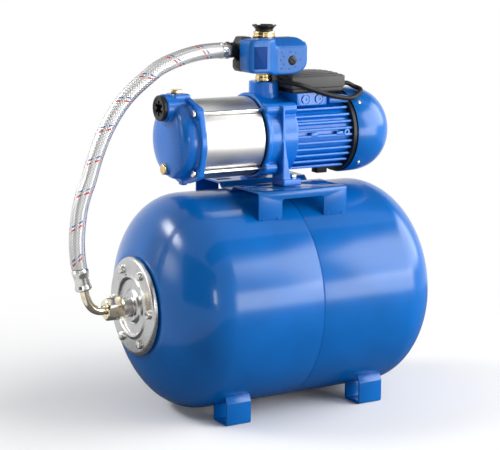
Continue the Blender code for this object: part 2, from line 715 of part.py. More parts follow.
def tank_clearance_tool(name, start, end):
    """The room that a piece on the tank leaves for the drum, whose right half is narrower."""
    wide = TANK_RADIUS + GAP
    narrow = wide - TANK_SEAM_STEP
    step = TANK_SEAM_X + GAP
    return turned(name, [(start, wide), (step, wide), (step, narrow), (end, narrow)],
                  (0, 0, TANK_Z), X, segments=TANK_SEGMENTS)


def build_feet():
    room = tank_clearance_tool("feet_room", -FOOT_MIDDLE_X - FOOT_WIDTH, FOOT_MIDDLE_X + FOOT_WIDTH)
    half_sheet = FOOT_SHEET / 2
    lean = FOOT_OUTER_Y - 11 * MM
    for side, front in (("front", -1), ("rear", 1)):
        for end, middle_x in (("left", -FOOT_MIDDLE_X), ("right", FOOT_MIDDLE_X)):
            path = [
                (front * (FOOT_INNER_Y), 34 * MM),
                (front * FOOT_INNER_Y, half_sheet),
                (front * (FOOT_OUTER_Y - half_sheet), half_sheet),
                (front * (FOOT_OUTER_Y - half_sheet), FOOT_BEND_HEIGHT),
                (front * lean, FOOT_BEND_HEIGHT + 17 * MM),
            ]
            name = f"foot_{side}_{end}"
            foot = sheet(name, fillet(path, 3 * MM, 1), -FOOT_WIDTH / 2, FOOT_WIDTH / 2, FOOT_SHEET,
                         BLUE, (middle_x, 0, 0))
            middle_y = front * (FOOT_OUTER_Y + FOOT_INNER_Y) / 2
            hole = prism(name + "_slot", slot((0, middle_y), FOOT_SLOT_LENGTH, FOOT_SLOT_WIDTH),
                         -FOOT_SHEET, 2 * FOOT_SHEET, Z, (middle_x, 0, 0))
            cut(foot, room, hole)


def build_saddle():
    half = SADDLE_SHEET / 2
    top = SADDLE_TOP_Z - half
    floor = top - SADDLE_TROUGH_DEPTH
    side = SADDLE_HALF_DEPTH - half
    drum = SADDLE_HALF_DEPTH / TANK_RADIUS
    foot = TANK_Z + TANK_RADIUS * math.sqrt(1 - drum ** 2) - 6 * MM
    path = [
        (-side, foot), (-side, top), (-SADDLE_TROUGH_MOUTH, top), (-SADDLE_TROUGH_FLOOR, floor),
        (SADDLE_TROUGH_FLOOR, floor), (SADDLE_TROUGH_MOUTH, top), (side, top), (side, foot),
    ]
    saddle = sheet("pump_saddle", fillet(path, SADDLE_BEND_RADIUS), SADDLE_LEFT_X, SADDLE_RIGHT_X,
                   SADDLE_SHEET, BLUE)
    window_left = SADDLE_LEFT_X + SADDLE_LEG_WIDTH
    window_right = SADDLE_RIGHT_X - SADDLE_LEG_WIDTH
    window_top = SADDLE_TOP_Z - SADDLE_WINDOW_DROP
    outline = rounded_rectangle(window_left, window_right, foot - 20 * MM, window_top, 5 * MM)
    window = prism("saddle_window", outline, -SADDLE_HALF_DEPTH * 1.2, SADDLE_HALF_DEPTH * 1.2, Y)
    tools = [tank_clearance_tool("saddle_room", 2 * SADDLE_LEFT_X, 2 * SADDLE_RIGHT_X), window]
    bolt_y = FOOT_BOLT_Y
    long_slots = [((FOOT_BOLT_X, bolt_y), SADDLE_SLOT_LENGTH, 0)]
    long_slots += [((FOOT_BOLT_X + 50 * MM, bolt_y + 25 * MM), SADDLE_SLOT_LENGTH, 0)]
    long_slots += [((SADDLE_LEFT_X + 48 * MM, bolt_y + 20 * MM), SADDLE_SLOT_LENGTH, 45)]
    long_slots += [((SADDLE_LEFT_X + 22 * MM, bolt_y - 10 * MM), SADDLE_SLOT_LENGTH, 0)]
    for number, ((x, y), length, angle) in enumerate(long_slots):
        for front in (-1, 1):
            outline = slot((x, front * y), length, SADDLE_SLOT_WIDTH, front * angle)
            tools += [prism(f"saddle_slot_{number}_{front}", outline, floor, SADDLE_TOP_Z + half, Z)]
    cut(saddle, *tools)


# Pump

def rod_places():
    return [(y, z) for y in (-ROD_Y, ROD_Y) for z in (ROD_Z, -ROD_Z)]


def cylinder(name, at, axis, radius, start, end, segments=MEDIUM_SEGMENTS):
    return turned(name, [(start, radius), (end, radius)], at, axis, segments=segments)


def build_suction_casing():
    flange = CASING_FLANGE_THICKNESS
    origin = (CASING_BACK_X, 0, PUMP_Z)
    step = 3 * MM
    profile = [(0, CASING_FLANGE_RADIUS), (flange - 1 * MM, CASING_FLANGE_RADIUS)]
    profile += [(flange, CASING_FLANGE_RADIUS - 1 * MM), (flange, CASING_DOME_RADIUS + step)]
    profile += [(flange + step, CASING_DOME_RADIUS)]
    profile += dome(flange + step, CASING_DOME_DEPTH - step, CASING_DOME_RADIUS, CASING_DOME_POWER,
                    0, 5)[1:-1]
    profile += [(flange + CASING_DOME_DEPTH, 0)]
    casing = turned("suction_casing", profile, origin, -X, BLUE_CAST, LARGE_SEGMENTS)

    added = [
        cylinder(f"casing_lug_{number}", (CASING_BACK_X, y, PUMP_Z + z), -X, LUG_RADIUS, 0,
                 flange + 2 * MM, SMALL_SEGMENTS)
        for number, (y, z) in enumerate(rod_places())
    ]
    suction_at = (SUCTION_MOUTH_X, 0, PUMP_Z + SUCTION_HEIGHT)
    boss_length = CASING_BACK_X - flange / 2 - SUCTION_MOUTH_X
    added += [cylinder("suction_boss", suction_at, X, SUCTION_BOSS_RADIUS, 0, boss_length)]
    pad_top = PUMP_Z + PRIMING_PAD_HEIGHT
    pad_left = PRIMING_X - PRIMING_PAD_LENGTH * 0.42
    pad = prism("priming_pad", rectangle(-PRIMING_PAD_WIDTH / 2, PRIMING_PAD_WIDTH / 2,
                                         PUMP_Z + SUCTION_HEIGHT - 8 * MM, pad_top),
                pad_left, pad_left + PRIMING_PAD_LENGTH, X)
    drain_z = PUMP_Z - DRAIN_DROP
    added += [soften(pad, 3 * MM, 1, 60)]
    added += [cylinder("drain_boss", (DRAIN_MOUTH_X, 0, drain_z), X, DRAIN_BOSS_RADIUS, 0,
                       CASING_BACK_X - flange - DRAIN_MOUTH_X, SMALL_SEGMENTS)]
    nib = prism("casing_nib", rectangle(-7 * MM, 7 * MM, -CASING_FLANGE_RADIUS - 2.5 * MM,
                                        -CASING_DOME_RADIUS + 4 * MM),
                -12 * MM, -2 * MM, X, origin)
    join(casing, *added, nib)

    inner = CASING_DOME_RADIUS - CASING_WALL
    hollow = [(-2 * MM, inner), (flange, inner)]
    hollow += dome(flange, CASING_DOME_DEPTH - 2 * CASING_WALL, inner, CASING_DOME_POWER, 0, 3)[1:-1]
    hollow += [(flange + CASING_DOME_DEPTH - 2 * CASING_WALL, 0)]
    tools = [turned("casing_hollow", hollow, origin, -X, segments=MEDIUM_SEGMENTS)]
    tools += [cylinder("suction_bore", suction_at, X, SUCTION_BORE_RADIUS, -5 * MM,
                       boss_length - 4 * MM, MEDIUM_SEGMENTS)]
    tools += [cylinder("priming_bore", (PRIMING_X, 0, pad_top), -Z, PRIMING_BORE_RADIUS, -5 * MM,
                       30 * MM, SMALL_SEGMENTS)]
    tools += [cylinder("drain_bore", (DRAIN_MOUTH_X, 0, drain_z), X, DRAIN_BORE_RADIUS, -5 * MM,
                       24 * MM, SMALL_SEGMENTS)]
    for number, (y, z) in enumerate(rod_places()):
        tools += [cylinder(f"casing_rod_hole_{number}", (CASING_BACK_X, y, PUMP_Z + z), -X,
                           ROD_RADIUS + GAP, -5 * MM, flange + 8 * MM, SMALL_SEGMENTS)]
    cut(casing, *tools)


def build_casing_plugs():
    suction_at = (SUCTION_MOUTH_X - GAP, 0, PUMP_Z + SUCTION_HEIGHT)
    head = SUCTION_PLUG_HEAD
    plug = turned("suction_plug", [
        (-SUCTION_PLUG_THREAD, SUCTION_BORE_RADIUS - GAP), (0, SUCTION_BORE_RADIUS - GAP),
        (0, SUCTION_PLUG_RADIUS), (head - 1.5 * MM, SUCTION_PLUG_RADIUS),
        (head, SUCTION_PLUG_RADIUS - 1.5 * MM),
    ], suction_at, -X, BLACK, MEDIUM_SEGMENTS)
    star = cylinder("plug_socket", suction_at, -X, 8.5 * MM, -6 * MM, head + 2 * MM, SMALL_SEGMENTS)
    wings = [
        prism(f"plug_key_{number}", rectangle(-3 * MM, 3 * MM, -12.5 * MM, 12.5 * MM),
              -head - 2 * MM, 6 * MM, X, suction_at)
        for number in range(3)
    ]
    for number, wing in enumerate(wings):
        wing.rotation_euler = (math.radians(60 * number), 0, 0)
    cut(plug, star, *wings)

    priming_at = (PRIMING_X, 0, PUMP_Z + PRIMING_PAD_HEIGHT + GAP)
    hex_bolt("priming_plug", priming_at, Z, PRIMING_BORE_RADIUS - GAP, PRIMING_PLUG_RADIUS,
             PRIMING_PLUG_HEIGHT, PRIMING_PLUG_THREAD, BRASS)
    drain_at = (DRAIN_MOUTH_X - GAP, 0, PUMP_Z - DRAIN_DROP)
    hex_bolt("drain_plug", drain_at, -X, DRAIN_BORE_RADIUS - GAP, DRAIN_PLUG_RADIUS,
             DRAIN_PLUG_HEIGHT, DRAIN_PLUG_THREAD, BRASS)


def sleeve_ends():
    front = CASING_BACK_X + GAP + SEAL_WIDTH + GAP
    rear = ADAPTER_FRONT_X - GAP - SEAL_WIDTH - GAP
    return front, rear


def build_sleeve():
    front, rear = sleeve_ends()
    inner = SLEEVE_RADIUS - SLEEVE_WALL
    ring = [(0, inner), (0, SLEEVE_RADIUS), (rear - front, SLEEVE_RADIUS), (rear - front, inner)]
    turned("stage_sleeve", ring, (front, 0, PUMP_Z), X, STAINLESS, TANK_SEGMENTS, hollow=True)
    seal = [(0, inner), (0, SEAL_RADIUS), (SEAL_WIDTH, SEAL_RADIUS), (SEAL_WIDTH, inner)]
    turned("sleeve_seal_front", seal, (CASING_BACK_X + GAP, 0, PUMP_Z), X, RUBBER, TANK_SEGMENTS, hollow=True)
    turned("sleeve_seal_rear", seal, (rear + GAP, 0, PUMP_Z), X, RUBBER, TANK_SEGMENTS, hollow=True)


def build_tie_rods():
    head_x = CASING_BACK_X - CASING_FLANGE_THICKNESS - 2 * MM - GAP
    length = ADAPTER_FRONT_X + ROD_THREAD_DEPTH - head_x
    for number, (y, z) in enumerate(rod_places(), 1):
        hex_bolt(f"tie_rod_{number}", (head_x, y, PUMP_Z + z), -X, ROD_RADIUS, ROD_HEAD_RADIUS,
                 ROD_HEAD_HEIGHT, length, ZINC)


def build_adapter():
    chamber = ADAPTER_CHAMBER_DEPTH
    wall = chamber + ADAPTER_WALL
    length = ADAPTER_LENGTH
    flange = ADAPTER_FLANGE_WIDTH
    pocket = length - 0.5 * MM - BEARING_WIDTH - GAP
    bearing = BEARING_RADIUS + GAP
    seal = SHAFT_SEAL_RADIUS + GAP
    shaft = SHAFT_RADIUS + RUNNING_GAP + 2 * MM
    profile = [(0, ADAPTER_CHAMBER_RADIUS), (0, ADAPTER_FLANGE_RADIUS - 1 * MM)]
    profile += [(1 * MM, ADAPTER_FLANGE_RADIUS), (flange, ADAPTER_FLANGE_RADIUS)]
    profile += [(flange + 2 * MM, ADAPTER_BODY_RADIUS), (length - 2 * MM, ADAPTER_BODY_RADIUS)]
    profile += [(length, ADAPTER_BODY_RADIUS - 1.5 * MM), (length, bearing), (pocket, bearing)]
    profile += [(pocket, shaft), (wall, shaft)]
    profile += [(wall, seal), (chamber, seal), (chamber, ADAPTER_CHAMBER_RADIUS)]
    origin = (ADAPTER_FRONT_X, 0, PUMP_Z)
    adapter = turned("motor_adapter", profile, origin, X, BLUE_CAST, LARGE_SEGMENTS, hollow=True)

    inner = ADAPTER_BODY_RADIUS - 4 * MM
    added = []
    for number, (y, z) in enumerate(rod_places()):
        reach = length - 1 * MM if z > 0 else ADAPTER_CHAMBER_DEPTH
        added += [cylinder(f"adapter_lug_{number}", (ADAPTER_FRONT_X, y, PUMP_Z + z), X,
                           LUG_RADIUS, 0.5 * MM, reach, SMALL_SEGMENTS)]
    boss_at = (PIPE_X, 0, PUMP_Z)
    flare = ADAPTER_BODY_RADIUS - 8 * MM
    added += [turned("discharge_boss", [
        (flare, DISCHARGE_RADIUS + 2 * MM), (DISCHARGE_HEIGHT - 20 * MM, DISCHARGE_RADIUS),
        (DISCHARGE_HEIGHT - 1.5 * MM, DISCHARGE_RADIUS), (DISCHARGE_HEIGHT, DISCHARGE_RADIUS - 1.5 * MM),
    ], boss_at, Z, segments=OUTLET_SEGMENTS)]

    foot_low = -PUMP_AXIS_HEIGHT + GAP
    foot_top = foot_low + ADAPTER_FOOT_THICKNESS
    rib_left = ADAPTER_FOOT_LEFT_X
    for front in (-1, 1):
        side = front * ADAPTER_RIB_HALF_SPAN
        inward = front * inner * 0.55
        rib = prism(f"adapter_rib_{front}", [
            (inward, foot_low), (side, foot_low), (side, 54 * MM), (inward, 60 * MM),
        ], rib_left, rib_left + ADAPTER_RIB_THICKNESS, X, (0, 0, PUMP_Z))
        leg = prism(f"adapter_leg_{front}", [
            (rib_left, foot_low), (rib_left + 18 * MM, foot_low),
            (rib_left + ADAPTER_RIB_THICKNESS, -6 * MM), (rib_left, -6 * MM),
        ], inward, front * (ADAPTER_RIB_HALF_SPAN + 1.5 * MM), Y, (0, 0, PUMP_Z))
        foot = prism(f"adapter_foot_{front}", rectangle(
            ADAPTER_FOOT_LEFT_X, ADAPTER_FOOT_RIGHT_X, foot_low, foot_top,
        ), inward, front * ADAPTER_FOOT_HALF_SPAN, Y, (0, 0, PUMP_Z))
        added += [rib, leg, soften(foot, 1.5 * MM, 1)]
    join(adapter, *added)
    tools = [cylinder("adapter_chamber", origin, X, ADAPTER_CHAMBER_RADIUS, -5 * MM, chamber,
                      LARGE_SEGMENTS)]
    tools += [cylinder("discharge_bore", (PIPE_X, 0, DISCHARGE_TOP_Z), -Z, DISCHARGE_BORE_RADIUS,
                       -5 * MM, DISCHARGE_HEIGHT - ADAPTER_CHAMBER_RADIUS + 8 * MM)]
    for number, (y, z) in enumerate(rod_places()):
        tools += [cylinder(f"adapter_rod_hole_{number}", (ADAPTER_FRONT_X, y, PUMP_Z + z), X,
                           ROD_RADIUS + GAP, -5 * MM, ROD_THREAD_DEPTH + 2 * MM, SMALL_SEGMENTS)]
    for front in (-1, 1):
        tools += [cylinder(f"foot_hole_{front}", (FOOT_BOLT_X, front * FOOT_BOLT_Y, SADDLE_TOP_Z), Z,
                           FOOT_BOLT_RADIUS + GAP, -5 * MM, ADAPTER_FOOT_THICKNESS + 5 * MM, SMALL_SEGMENTS)]
    flat = rectangle(-DISCHARGE_RADIUS, DISCHARGE_RADIUS, BOX_Z - GAP, DISCHARGE_TOP_Z + GAP)
    tools += [prism("boss_flat", flat, BOX_LEFT_X - GAP, BOX_LEFT_X + DISCHARGE_RADIUS, X)]
    cut(adapter, *tools)


def build_foot_bolts():
    under_head = SADDLE_TOP_Z + GAP + ADAPTER_FOOT_THICKNESS + GAP
    below = SADDLE_TOP_Z - SADDLE_SHEET - GAP
    for side, front in (("front", -1), ("rear", 1)):
        at = (FOOT_BOLT_X, front * FOOT_BOLT_Y, under_head)
        bolt = hex_bolt(f"saddle_bolt_{side}", at, Z, FOOT_BOLT_RADIUS, FOOT_BOLT_HEAD_RADIUS,
                        FOOT_BOLT_HEAD_HEIGHT, under_head - below + FOOT_BOLT_NUT_HEIGHT + 1 * MM, ZINC)
        nut = turned(f"saddle_nut_{side}", [
            (below - under_head - FOOT_BOLT_NUT_HEIGHT, FOOT_BOLT_HEAD_RADIUS),
            (below - under_head, FOOT_BOLT_HEAD_RADIUS),
        ], at, Z, segments=6)
        join(bolt, nut)


def stage_faces():
    """The X of each stage chamber's front face."""
    front, _ = sleeve_ends()
    first = front + 14 * MM
    return [first + number * STAGE_PITCH for number in range(STAGES)]


def build_stages():
    faces = stage_faces()
    hole = SHAFT_RADIUS + RUNNING_GAP + 8 * MM
    outer = SLEEVE_RADIUS - SLEEVE_WALL - GAP
    origin_x = faces[0]
    end = STAGES * STAGE_PITCH + STAGE_WALL * 0.6
    profile = [(end, outer), (0, outer)]
    for face in faces:
        along = face - origin_x
        wall = STAGE_WALL * 0.6
        profile += [(along, hole), (along + wall, hole), (along + wall, STAGE_RADIUS)]
        profile += [(along + STAGE_PITCH - wall, STAGE_RADIUS), (along + STAGE_PITCH - wall, hole + 6 * MM)]
        profile += [(along + STAGE_PITCH - 0.01 * MM, hole + 6 * MM)]
    profile += [(end, hole + 6 * MM)]
    turned("stage_chambers", profile, (origin_x, 0, PUMP_Z), X, NORYL, HIDDEN_SEGMENTS, hollow=True)

    hub = SHAFT_RADIUS + 5 * MM
    bore = SHAFT_RADIUS + GAP
    for number, face in enumerate(faces, 1):
        middle = face + STAGE_WALL * 0.6 + 2 * MM
        impeller = turned(f"impeller_{number}", [
            (-STAGE_WALL * 0.6, bore), (-STAGE_WALL * 0.6, hub), (IMPELLER_THICKNESS * 0.7, hub),
            (IMPELLER_THICKNESS * 0.7, IMPELLER_RADIUS), (IMPELLER_THICKNESS, IMPELLER_RADIUS),
            (IMPELLER_THICKNESS, bore),
        ], (middle, 0, PUMP_Z), X, NORYL, HIDDEN_SEGMENTS, hollow=True)
        vanes = []
        for vane_number in range(IMPELLER_VANES):
            turn = math.tau * vane_number / IMPELLER_VANES
            mid = IMPELLER_RADIUS * 0.62
            place = (middle, mid * math.cos(turn), PUMP_Z + mid * math.sin(turn))
            vane = prism(f"vane_{number}_{vane_number}", rectangle(-14 * MM, 14 * MM, -1 * MM, 1 * MM),
                         0.5 * MM, IMPELLER_THICKNESS - 1 * MM, X, place)
            vane.rotation_euler = (turn + math.radians(35), 0, 0)
            vanes.append(vane)
        join(impeller, *vanes)


def build_shaft():
    rear = SHAFT_REAR_X - SHAFT_FRONT_X
    shoulder = ADAPTER_FRONT_X + ADAPTER_LENGTH + 2 * MM - SHAFT_FRONT_X
    swell = SHIELD_X - 2 * MM - SHAFT_FRONT_X
    thick = SHAFT_RADIUS + 3 * MM
    turned("shaft", [
        (0, SHAFT_RADIUS - 1 * MM), (1 * MM, SHAFT_RADIUS), (shoulder, SHAFT_RADIUS),
        (shoulder, thick), (swell, thick), (swell, SHAFT_RADIUS), (rear, SHAFT_RADIUS),
    ], (SHAFT_FRONT_X, 0, PUMP_Z), X, STAINLESS, HIDDEN_SEGMENTS)

    seal_x = ADAPTER_FRONT_X + ADAPTER_CHAMBER_DEPTH
    ring = SHAFT_RADIUS + RUNNING_GAP
    turned("shaft_seal", [
        (-8 * MM, ring), (-8 * MM, SHAFT_SEAL_RADIUS - 4 * MM), (-GAP, SHAFT_SEAL_RADIUS - 2 * MM),
        (-GAP, SHAFT_SEAL_RADIUS), (ADAPTER_WALL - GAP, SHAFT_SEAL_RADIUS), (ADAPTER_WALL - GAP, ring),
    ], (seal_x, 0, PUMP_Z), X, CERAMIC, HIDDEN_SEGMENTS, hollow=True)

    race = [(0, SHAFT_RADIUS + GAP), (0, BEARING_RADIUS)]
    race += [(BEARING_WIDTH, BEARING_RADIUS), (BEARING_WIDTH, SHAFT_RADIUS + GAP)]
    front_x = ADAPTER_FRONT_X + ADAPTER_LENGTH - 0.5 * MM - BEARING_WIDTH
    turned("front_bearing", race, (front_x, 0, PUMP_Z), X, STEEL, HIDDEN_SEGMENTS, hollow=True)
    turned("rear_bearing", race, (SHIELD_X - 1 * MM, 0, PUMP_Z), X, STEEL, HIDDEN_SEGMENTS, hollow=True)


# Motor

def stator_x():
    return MOTOR_X + (MOTOR_LENGTH - STATOR_LENGTH) / 2


def build_motor_inside():
    start = stator_x()
    radius = STATOR_BORE_RADIUS - RUNNING_GAP
    thick = SHAFT_RADIUS + 3 * MM + GAP
    ring = [(0, thick), (0, radius), (STATOR_LENGTH, radius), (STATOR_LENGTH, thick)]
    turned("rotor_core", ring, (start, 0, PUMP_Z), X, STEEL, HIDDEN_SEGMENTS, hollow=True)

    bore = STATOR_BORE_RADIUS
    coil = bore + WINDING_THICKNESS
    head = WINDING_HEAD_LENGTH
    length = STATOR_LENGTH
    turned("stator_windings", [
        (-head, bore), (-head, WINDING_HEAD_RADIUS - 3 * MM), (-head + 3 * MM, WINDING_HEAD_RADIUS),
        (-GAP, WINDING_HEAD_RADIUS), (-GAP, coil), (length + GAP, coil),
        (length + GAP, WINDING_HEAD_RADIUS), (length + head - 3 * MM, WINDING_HEAD_RADIUS),
        (length + head, WINDING_HEAD_RADIUS - 3 * MM), (length + head, bore),
    ], (start, 0, PUMP_Z), X, COPPER, HIDDEN_SEGMENTS, hollow=True)
    core = [(0, coil + GAP), (0, MOTOR_BORE_RADIUS - 2 * GAP)]
    core += [(length, MOTOR_BORE_RADIUS - 2 * GAP), (length, coil + GAP)]
    turned("stator_core", core, (start, 0, PUMP_Z), X, STEEL, HIDDEN_SEGMENTS, hollow=True)


def fin_outline():
    """The motor's cross-section in (Y, Z): a round body with level fins on both sides."""
    half = MOTOR_FIN_THICKNESS / 2

    def body_reach(z):
        if abs(z) >= MOTOR_BODY_RADIUS:
            return MOTOR_WEB
        return max(math.sqrt(MOTOR_BODY_RADIUS ** 2 - z ** 2), MOTOR_WEB)

    def fin_reach(z):
        return max(math.sqrt(max(MOTOR_FIN_RADIUS ** 2 - z ** 2, 0)), MOTOR_WEB + 6 * MM)

    levels = range(MOTOR_FINS_EACH_WAY, -MOTOR_FINS_EACH_WAY - 1, -1)
    right = []
    for level in levels:
        middle = level * MOTOR_FIN_PITCH
        high, low = middle + half, middle - half
        outermost = min(fin_reach(high), fin_reach(low))
        if level < MOTOR_FINS_EACH_WAY:
            right.append((body_reach(high), high))
        right += [(outermost, high), (outermost, low)]
        if level > -MOTOR_FINS_EACH_WAY:
            right.append((body_reach(low), low))
    return right + [(-y, z) for y, z in reversed(right)]


def build_motor_housing():
    origin = (MOTOR_X, 0, PUMP_Z)
    housing = prism("motor_housing", fin_outline(), 0, MOTOR_LENGTH, X, origin, BLUE_CAST)
    plinth_top = BOX_Z - GAP - PUMP_Z
    left = PLINTH_LEFT_X - MOTOR_X
    plinth = prism("terminal_plinth", rectangle(left, left + PLINTH_LENGTH, PLINTH_BASE_Z, plinth_top),
                   -PLINTH_DEPTH / 2, PLINTH_DEPTH / 2, Y, origin)
    added = [plinth]
    for front in (-1, 1):
        for offset in (17 * MM, 44 * MM):
            face = (PLINTH_LEFT_X + offset, front * PLINTH_DEPTH / 2, (PLINTH_BASE_Z + plinth_top) / 2 + PUMP_Z)
            added += [cylinder(f"knockout_{front}_{offset:.3f}", face, Y * front, KNOCKOUT_RADIUS,
                               -2 * MM, 1.2 * MM, HIDDEN_SEGMENTS)]
    join(housing, *added)
    tools = [cylinder("motor_bore", origin, X, MOTOR_BORE_RADIUS, -5 * MM, MOTOR_LENGTH + 5 * MM, LARGE_SEGMENTS)]
    tools += [cylinder("lead_hole", (MOTOR_X + MOTOR_LENGTH * 0.3, 0, PUMP_Z), Z, 9 * MM, 40 * MM,
                       BOX_BASE_Z + 5 * MM, SMALL_SEGMENTS)]
    cut(housing, *tools)


def build_end_shield():
    length = SHIELD_LENGTH
    bearing = BEARING_RADIUS + GAP
    shaft = SHAFT_RADIUS + RUNNING_GAP
    step = BEARING_WIDTH - 1 * MM + GAP
    end = step + 3 * MM
    turned("end_shield", [
        (-1 * MM, bearing), (-1 * MM, bearing + 4 * MM), (0, bearing + 6 * MM), (0, SHIELD_RADIUS),
        (length, SHIELD_RADIUS), (length, bearing + 8 * MM), (end, bearing + 2 * MM), (end, shaft),
        (step, shaft), (step, bearing),
    ], (SHIELD_X, 0, PUMP_Z), X, BLACK, LARGE_SEGMENTS, hollow=True)


def build_fan():
    start = SHIELD_X + BEARING_WIDTH + 5 * MM
    bore = SHAFT_RADIUS + GAP
    fan = turned("cooling_fan", [
        (0, bore), (0, FAN_HUB_RADIUS), (4 * MM, FAN_HUB_RADIUS + 2 * MM), (4 * MM, FAN_RADIUS),
        (6 * MM, FAN_RADIUS), (6 * MM, FAN_HUB_RADIUS + 2 * MM), (FAN_LENGTH, FAN_HUB_RADIUS),
        (FAN_LENGTH, bore),
    ], (start, 0, PUMP_Z), X, BLACK, MEDIUM_SEGMENTS, hollow=True)
    blades = []
    for number in range(FAN_BLADES):
        turn = math.tau * number / FAN_BLADES
        blade = prism(f"fan_blade_{number}", rectangle(FAN_HUB_RADIUS - 2 * MM, FAN_RADIUS - 1 * MM,
                                                       -1 * MM, 1 * MM),
                      5 * MM, FAN_LENGTH - 2 * MM, X, (start, 0, PUMP_Z))
        blade.rotation_euler = (turn, 0, 0)
        blades.append(blade)
    join(fan, *blades)


def build_fan_cover():
    straight = FAN_COVER_STRAIGHT
    depth = FAN_COVER_LENGTH - straight
    wall = FAN_COVER_WALL
    grille = GRILLE_RADIUS
    outer = dome(straight, depth, FAN_COVER_RADIUS, FAN_COVER_POWER, grille, 5)
    inner = dome(straight, depth - wall, FAN_COVER_RADIUS - wall, FAN_COVER_POWER, grille, 3)
    cover_at = (FAN_COVER_X, 0, PUMP_Z)
    end = outer[-1][0]
    inside = [point for point in inner if point[0] < end - 1.2 * wall]
    profile = [(end - wall, grille - 3 * MM)] + inside[::-1] + [(0, FAN_COVER_RADIUS - wall)]
    profile += [(0, FAN_COVER_RADIUS)] + outer
    cover = turned("fan_cover", profile, cover_at, X, BLUE, LARGE_SEGMENTS)
    tools = []
    for ring in range(GRILLE_RINGS):
        low = GRILLE_FIRST_RADIUS + ring * GRILLE_PITCH
        high = low + GRILLE_SLOT
        for third in range(3):
            half_bridge = math.degrees(GRILLE_BRIDGE / 2 / low)
            start = 120 * third + half_bridge
            stop = 120 * third + 120 - half_bridge
            outline = arc((0, 0), high, start, stop, 4) + arc((0, 0), low, stop, start, 2)
            tools += [prism(f"grille_{ring}_{third}", outline, end - 4 * wall, end + 2 * wall, X,
                            cover_at)]
    screws = []
    for turn in (45, 135, 225, 315):
        y = (FAN_COVER_RADIUS - 0.4 * MM) * math.cos(math.radians(turn))
        z = (FAN_COVER_RADIUS - 0.4 * MM) * math.sin(math.radians(turn))
        at = (FAN_COVER_X + 14 * MM, y, PUMP_Z + z)
        out = Vector((0, y, z)).normalized()
        screws += [turned(f"cover_screw_{turn}", [(-1 * MM, 3.6 * MM), (1.2 * MM, 3.6 * MM),
                                                  (2.4 * MM, 2.2 * MM)], at, out, segments=8)]
    join(cover, *screws)
    cut(cover, *tools)


def build_motor_rest():
    top = PUMP_Z - MOTOR_FINS_EACH_WAY * MOTOR_FIN_PITCH - MOTOR_FIN_THICKNESS / 2 - GAP
    half = REST_LENGTH / 2
    outline = [(-half, -REST_HEIGHT * 0.45), (-half + 8 * MM, -REST_HEIGHT), (half, -REST_HEIGHT),
               (half - 2 * MM, 0), (-half, 0)]
    prism("motor_rest", outline, -REST_WIDTH / 2, REST_WIDTH / 2, Y, (REST_X, 0, top), RUBBER)


# Terminal box

def build_terminal_box():
    half = BOX_DEPTH / 2
    lip = BOX_LIP
    corner = 3 * MM
    tray_at = (BOX_LEFT_X, 0, BOX_Z)
    tray = prism("terminal_box", rounded_rectangle(lip, BOX_LENGTH - lip, -half + lip, half - lip, corner),
                 0, BOX_TRAY_HEIGHT, Z, tray_at, BLACK)
    wall = BOX_WALL
    room = prism("tray_room", rounded_rectangle(lip + wall, BOX_LENGTH - lip - wall, -half + lip + wall,
                                                half - lip - wall, corner - 1 * MM),
                 wall, BOX_TRAY_HEIGHT + 5 * MM, Z, tray_at)
    lead = cylinder("tray_lead_hole", (MOTOR_X + MOTOR_LENGTH * 0.3, 0, BOX_Z), Z, 9 * MM, -5 * MM,
                    5 * MM, SMALL_SEGMENTS)
    cut(tray, room, lead)

    lid_z = BOX_Z + BOX_TRAY_HEIGHT + GAP
    side = BOX_LID_HEIGHT
    crown = BOX_LID_CROWN
    steps = 12
    top = [(-half + BOX_DEPTH * i / steps, side + crown * (1 - (2 * i / steps - 1) ** 2))
           for i in range(steps + 1)]
    outline = [(-half, 0)] + top + [(half, 0)]
    lid = prism("terminal_lid", outline, 0, BOX_LENGTH, X, (BOX_LEFT_X, 0, lid_z), BLACK)
    inside = prism("lid_room", rectangle(wall, BOX_LENGTH - wall, -half + wall, half - wall), -5 * MM,
                   side - wall, Z, (BOX_LEFT_X, 0, lid_z))
    tools = [inside]
    for number in range(5):
        y = -half + BOX_DEPTH * (number + 1) / 6
        level = side + crown * (1 - (2 * (number + 1) / 6 - 1) ** 2)
        tools += [prism(f"lid_groove_{number}", rectangle(y - 2 * MM, y + 2 * MM, level - 1.2 * MM,
                                                          side + crown + 3 * MM),
                        4 * MM, BOX_LENGTH - 4 * MM, X, (BOX_LEFT_X, 0, lid_z))]
    cut(lid, *tools)

    capacitor_x = BOX_LEFT_X + BOX_LENGTH - CAPACITOR_END_CLEARANCE - CAPACITOR_LENGTH
    capacitor_z = BOX_Z + wall + GAP + CAPACITOR_RADIUS
    turned("capacitor", [
        (0, CAPACITOR_RADIUS - 1 * MM), (1 * MM, CAPACITOR_RADIUS),
        (CAPACITOR_LENGTH - 1 * MM, CAPACITOR_RADIUS), (CAPACITOR_LENGTH, CAPACITOR_RADIUS - 1 * MM),
    ], (capacitor_x, CAPACITOR_Y, capacitor_z), X, ZINC, SMALL_SEGMENTS)


# Controller

def cover_plan():
    """The cover seen from above, in (X, Y): a broad front face, then a dip to the dial's lobe."""
    left = CONTROLLER_LEFT_X
    back = BODY_FRONT_Y - GAP
    corner = 8 * MM
    points = [(left, back)]
    points += arc((left + corner, COVER_FACE_Y + corner), corner, 180, 270, 4)
    steps = 6
    for i in range(steps + 1):
        t = i / steps
        blend = (1 - math.cos(math.pi * t)) / 2
        x = COVER_FACE_RIGHT_X + (COVER_LOBE_LEFT_X - COVER_FACE_RIGHT_X) * t
        points.append((x, COVER_FACE_Y + (COVER_LOBE_Y - COVER_FACE_Y) * blend))
    points += arc((CONTROLLER_RIGHT_X - 6 * MM, COVER_LOBE_Y + 6 * MM), 6 * MM, -90, 0, 3)
    points += [(CONTROLLER_RIGHT_X, back)]
    return points


